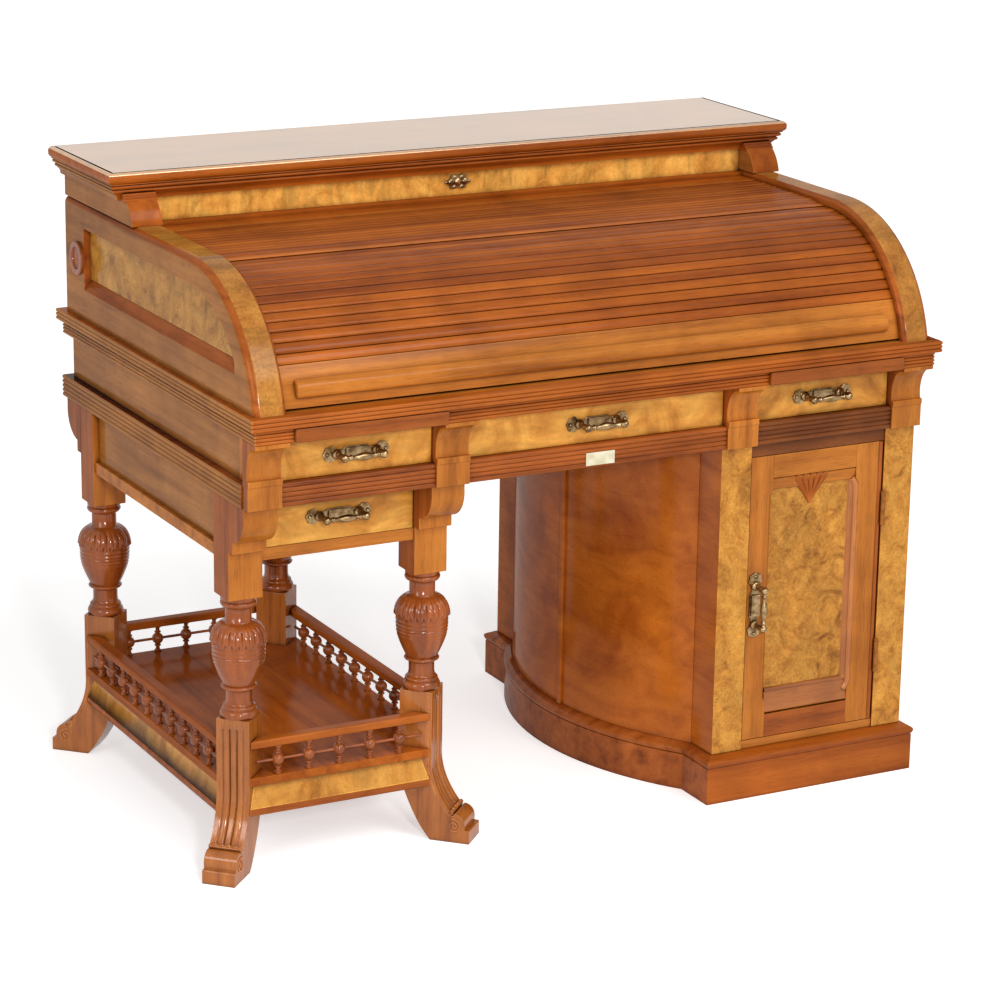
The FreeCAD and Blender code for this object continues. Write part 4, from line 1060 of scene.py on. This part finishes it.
nose_level, face_level = 76.0, 66.0
nose_round, face_round, face_sink = 4.5, 1.5, 2.0
bow_end = 350
plinth = copied("plinth", "plinth_moulded")
rounded(plinth, lambda end: abs(end.z - nose_level) < 0.3, nose_round, 4)
rounded(plinth, lambda end: abs(end.z - face_level) < 0.3, face_round, 2)
for vertex in plinth.data.vertices:
    if abs(vertex.co.z - face_level * MM) < 0.3 * MM:
        vertex.co -= Vector((vertex.normal.x, vertex.normal.y, 0)).normalized() * face_sink * MM
finished(eased(plinth, smooth=30, flats=True), "desk", "walnut", moulded_x, "plinth")
# Painted shade: the plinth's curved sides under the bow in darker red walnut.
painted(plinth, red_x, lambda centre, normal: abs(normal.x) > 0.35 and centre.x < bow_end)
piece = dressed("corner_posts", "burr_pilasters", "desk", "burr_veneer", walnut_z, 1.5)
painted(piece, burr_upright, lambda centre, normal: normal.y < -0.9)
painted(piece, figured, lambda centre, normal: abs(normal.x) > 0.9)
dressed("bowed_side", "bowed_panels", "desk", "walnut", figured, smooth=30)

# Cupboard door
# A walnut frame round a burr field, with chamfers on the stiles that stop short of the corners.
# Bevels lie along the rails, a strip and a bead along the right stile, and a carved fan hangs above.

door_face, field_face, door_back = 60.0, 67.2, 82.0
door_left, door_right, door_low, door_high = 306.0, 573.0, 101.0, 611.0
open_left, open_right, open_low, open_high = 351.0, 520.0, 142.0, 570.0
chamfer_low, chamfer_high, stop_length, side_chamfer = 160.0, 552.0, 14.0, 8.0
bevel_top, bevel_foot = 189, 548
strip_width, bead_radius = 12.5, 5.8
edge_bead_x = 560
under_field = field_face + 0.6
fan_x = (open_left + open_right - strip_width) / 2
fan_half, fan_drop, fan_ribs = 35.0, 54.0, 5
fan_columns, fan_rows = 56, 10
fan_tip = open_high - fan_drop


def on_rails(centre, normal):
    """Whether a face is on the front of the rails between the stiles."""
    return open_left < centre.x < open_right and normal.y < -0.5


def on_fan(column, row):
    """A point of the carved fan, counted across its spread and out from its tip."""
    spread = 2 * column / fan_columns - 1
    out = row / fan_rows
    rib = abs(math.sin(math.pi * fan_ribs * (column / fan_columns)))
    scallop = 1 - 0.20 * (1 - rib) * out
    rise = 0.6 + 5.8 * rib ** 0.7 * (0.25 + 0.75 * out)
    return at(fan_x + fan_half * spread * out, field_face - rise, fan_tip + fan_drop * out * scallop)


boards = []
for start, end, arris, outward_sense in (
        (door_left, open_left, open_left, -1), (open_right, door_right, open_right, 1)):
    section = [(start, door_face), (end, door_face), (end, door_back), (start, door_back)]
    stile = drawn("stile", section, "Z", door_low, door_high)
    inner, outer = arris - 0.5 * outward_sense, arris + side_chamfer * outward_sense
    outline = [(inner, chamfer_low), (outer, chamfer_low + stop_length), (outer, chamfer_high - stop_length),
               (inner, chamfer_high)]
    cutter = drawn("chamfer_cutter", outline, "Y", door_face - 1.0, field_face)
    for vertex in cutter.data.vertices:
        if vertex.co.y > at(0, door_face, 0).y:
            vertex.co.x = at(inner, 0, 0).x + outward_sense * 0.1 * MM
    cut = stile.modifiers.new("chamfer", "BOOLEAN")
    cut.operation = "DIFFERENCE"
    cut.object = cutter
    apply_all(stile)
    discard(cutter)
    boards.append(stile)
for start, end in ((door_low, open_low), (open_high, door_high)):
    outline = [(door_face, start), (door_back, start), (door_back, end), (door_face, end)]
    boards.append(drawn("rail", outline, "X", open_left, open_right))
stiles = joined("door_stiles", *[eased(board, 0.7) for board in boards])
finished(stiles, "door", "walnut", walnut_z, "door_frame")
painted(stiles, walnut_x, on_rails)
painted(stiles, red_x, lambda centre, normal: on_rails(centre, normal) and centre.z < open_low)
panel = copied("door_field", "door_panel")
for vertex in panel.data.vertices:
    if vertex.co.x < at(fan_x, 0, 0).x:
        vertex.co.x = min(vertex.co.x, at(open_left - side_chamfer, 0, 0).x)
finished(eased(panel), "door", "burr_veneer", burr_door, "door_field")

low_line = [(under_field, open_low + 1.5), (door_face + 3.2, open_low + 1.5), (door_face + 0.8, open_low + 5),
            (field_face - 2.0, bevel_top - 9), (field_face - 2.4, bevel_top - 7),
            (field_face - 4.2, bevel_top - 6), (field_face - 4.2, bevel_top - 2),
            (field_face - 2.0, bevel_top), (under_field, bevel_top)]
high_line = [(under_field, open_high - 1), (door_face + 3.0, open_high - 1), (door_face + 1.4, open_high - 4),
             (field_face - 3.0, bevel_foot + 5), (field_face - 4.0, bevel_foot + 4),
             (field_face - 3.4, bevel_foot + 1), (under_field, bevel_foot)]
strip_line = [(open_right + 5, door_face + 4.4), (open_right - 5, door_face + 3.6),
              (open_right - 10, door_face + 4.4), (open_right - strip_width, under_field),
              (open_right + 5, under_field)]
bevels = [drawn("bevel", line, "X", open_left, open_right) for line in (low_line, high_line)]
bevels.append(drawn("bevel", strip_line, "Z", bevel_top - 3, bevel_foot + 3))
piece = finished(eased(joined("door_bevels", *bevels), 0.8), "door", "walnut", leg_walnut)
painted(piece, walnut_x, lambda centre, normal: centre.z > bevel_foot + 1)
painted(piece, bevel_x, lambda centre, normal: centre.z < bevel_top - 0.5)

# Partly painted highlight: the beads are a lighter walnut than the frame round them.
bead_walnut_and_highlight = walnut("bead_walnut_and_highlight", "Z", ((0.62, 0.225, 0.050), (0.47, 0.150, 0.028), (0.27, 0.072, 0.012)),
                     coat=0.9)
route = [(-6, 164), (-2, 168), (2.6, 175), (3.0, 186), (3.0, 528), (2.6, 538), (-2, 546), (-6, 551)]
rod = wire([at(open_right + out, door_face + 5.4, height) for out, height in route], bead_radius, 4, 3)
edge_line = through((565.0, 61), ((566.0, 58.0), (568.8, 57.2)), ((571.6, 58.0), (572.6, 61)))
edge_bead = drawn("edge_bead", edge_line, "Z", door_low + 1, door_high - 1)
piece = finished(eased(joined("door_beads", rod, edge_bead)), "door", "walnut", bead_walnut_and_highlight)
painted(piece, red_z, lambda centre, normal: centre.x > edge_bead_x)
fan = sheeted("carved_fan", fan_columns, fan_rows, on_fan, 3.0)
finished(eased(fan, smooth=60), "door", "walnut", moulded_x, "door_fan")

# Brass handles
# Cast brass back plates with lobed ends and a raised tablet, and a turned bar on two posts.
# All five are the same casting, aged and rubbed bright where hands touch them.

plate_end, end_radius, strap_half = 45.5, 12.6, 7.0
tablet_half, tablet_rise = 21.0, 10.3
tablet_size = (38, 5, 17)
bar_half, bar_neck, ball_radius, stand = 42.0, 3.5, 7.0, 32.5
ball_centre = bar_half - ball_radius
pull_x, pull_y, pull_z = 439.5, 58, 710


def metal(name, scale, detail, roughness, shine, depth, *stops):
    """A mottled metal of a few tones, dark in the hollows."""

    def colour_of(place):
        patch = noise(place, scale, detail, roughness)
        return ramp_of(patch, *stops), patch, depth

    return polished(name, colour_of, shine, 0.0)


brass = metal("aged_brass", 90.0, 5.0, 0.6, 0.3, 0.0004, (0.34, (0.11, 0.062, 0.026)),
              (0.5, (0.29, 0.185, 0.085)), (0.66, (0.45, 0.32, 0.17)))
fill(brass.node_tree.nodes["Principled BSDF"], Metallic=1.0)
bronzed = metal("bronzed_brass", 120.0, 4.0, 0.5, 0.45, 0.0003, (0.35, (0.24, 0.085, 0.020)),
                (0.65, (0.40, 0.150, 0.034)))

half_plate = [(tablet_half, -tablet_rise), (tablet_half + 2, -strap_half)]
for degrees in range(-150, 151, 10):
    angle = math.radians(degrees)
    reach = end_radius + 0.9 * math.cos(7 * angle)
    half_plate.append((plate_end + reach * math.cos(angle), reach * math.sin(angle)))
half_plate += [(tablet_half + 2, strap_half), (tablet_half, tablet_rise)]
plate = eased(drawn("plate", half_plate + mirrored(half_plate), "Y", -2.6, 0.0, here), 0.7)
tablet = block(tablet_size, here(0, -3.6, 0))
only(tablet, "FACE", lambda side: side.normal.y < -0.9)
bpy.ops.mesh.inset(thickness=2.2 * MM, depth=0)
bpy.ops.mesh.inset(thickness=0.8 * MM, depth=-1.2 * MM)
bpy.ops.object.mode_set(mode="OBJECT")
eased(tablet, 0.6)
half_bar = [(bar_neck, 15), (bar_neck, 21.5), (5.0, 22.5), (5.0, 24.5), (bar_neck, 25.5), (bar_neck, 27.5)]
bar_profile = [(0.6, -bar_half)] + ball(ball_radius, -ball_centre, bar_neck, 10)[3:]
bar_profile += [(radius, -height) for radius, height in reversed(half_bar)]
bar_profile += bowed((bar_neck, -15), (6.4, 0), (bar_neck, 15), 14) + half_bar[1:]
bar_profile += ball(ball_radius, ball_centre, bar_neck, 10)[:-3] + [(0.6, bar_half)]
bar = turned("bar", bar_profile, 18)
bar.data.transform(laid("Y", here(0, -stand, 0)))
post_profile = through((8.5, 0), ((8.0, 3.5), (5.0, 6.0)), (4.2, 9), (4.0, 17), (5.4, 19), (5.4, 21.5),
                       (4.0, 23.5), (4.0, stand - 2.5))
post = turned("post", post_profile, 18)
castings = [plate, tablet, bar]
for end in (-1, 1):
    castings.append(twin(post, laid("X", here(end * ball_centre, -2.4, 0))))
    castings.append(knob(3.6, here(end * 51.5, -2.4, 0), segments=16, rings=10))
discard(post)
handle = eased(joined("handle", *castings), smooth=45)
for name, x, y, z in (("left_drawer", -pull_x, pull_y, pull_z), ("centre_drawer", 0, pull_y, pull_z),
                      ("right_drawer", pull_x, pull_y, pull_z), ("low_drawer", -pull_x, 123, 590)):
    piece = twin(handle, Matrix.Translation(at(x, y, z)), name + "_pull")
    finished(piece, name, "brass", brass, name + "_handle")
finished(twin(handle, laid("Y", at(321, 60, 347)), "door_pull"), "door", "brass", brass, "door_handle")
discard(handle)

# Hinges and lock
# Plain hinges lacquered brown, and a lobed cast escutcheon with bosses on the frieze, with a dark keyhole
# shape laid on it as painted shade for the hole.


def repainted(node, material):
    """A CAD node shown as it is, with its own finish."""
    frame["nodes"][node].data.materials.clear()
    frame["nodes"][node].data.materials.append(material)


for node in ("hinges", "hinge_leaves"):
    repainted(node, bronzed)

lock_z = 1020.0
bosses = ((0, 0, 7.5), (-13.5, 0, 6.4), (13.5, 0, 6.4), (-7, 8.4, 3.4), (7, 8.4, 3.4), (-7, -8.4, 3.4),
          (7, -8.4, 3.4), (-22, 0, 2.8), (22, 0, 2.8))
lock_line = []
for degrees in range(0, 360, 6):
    angle = math.radians(degrees)
    lobe = 1 + 0.13 * math.cos(6 * angle)
    lock_line.append((22.5 * lobe * math.cos(angle), lock_z + 12.4 * lobe * math.sin(angle)))
lock_parts = [eased(drawn("lock_plate", lock_line, "Y", frieze_face - 3.0, frieze_face), 0.8)]
for x, z, radius in bosses:
    lock_parts.append(knob(radius, at(x, frieze_face - 2.6, lock_z + z), (1.0, 0.5, 1.0), 20, 12))
finished(eased(joined("lock_plate", *lock_parts)), "desk", "brass", brass, "roll_lock")
# Painted shade: the keyhole is a dark brass shape laid on the centre boss, not a hole.
keyhole_shade_line = through((-1.1, lock_z - 4), (1.1, lock_z - 4), (0.9, lock_z - 0.5),
                       ((2.2, lock_z + 1.2), (0, lock_z + 3.0)), ((-2.2, lock_z + 1.2), (-0.9, lock_z - 0.5)))
finished(drawn("keyhole", keyhole_shade_line, "Y", frieze_face - 6.9, frieze_face - 5.0), "desk", "brass", bronzed)

# Bare label plate
# A small plain ivory plate pinned to the lower moulding in the middle of the front.

moulding_face = on_desk(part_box("lower_moulding")[0]).y


def ivory_colour(place):
    """Old ivory, a little yellowed in clouds."""
    cloud = noise(place, 60.0, 3.0)
    return ramp_of(cloud, (0.35, (0.62, 0.55, 0.36)), (0.65, (0.78, 0.73, 0.55))), cloud, 0.0001


ivory = polished("ivory", ivory_colour, 0.4, 0.2)
plate_corners = [(-27, 640), (27, 640), (27, 662), (-27, 662)]
piece = eased(drawn("bare_plate", plate_corners, "Y", moulding_face - 1.0, moulding_face + 2.5), 0.8, 3)
finished(piece, "desk", "lining_wood", ivory)

# Leather and canvas
# A tooled skiver on the writing board, and the canvas that backs the curtain.


def leather_colour(place):
    """Dyed skiver with a fine grain."""
    cloud = noise(place, 6.0, 4.0)
    hide = ramp_of(cloud, (0.35, (0.05, 0.02, 0.012)), (0.7, (0.11, 0.04, 0.02)))
    return hide, cells(place, 900.0), 0.0003


def canvas_colour(place):
    """Brown cotton duck in a plain weave."""
    weave = noise(place, 420.0, 2.0)
    return ramp_of(weave, (0.3, (0.16, 0.12, 0.08)), (0.7, (0.30, 0.24, 0.16))), weave, 0.0004


repainted("writing_leather", polished("tooled_leather", leather_colour, 0.5, 0.0, False))
repainted("tambour_canvas", polished("brown_canvas", canvas_colour, 0.9, 0.0, False))
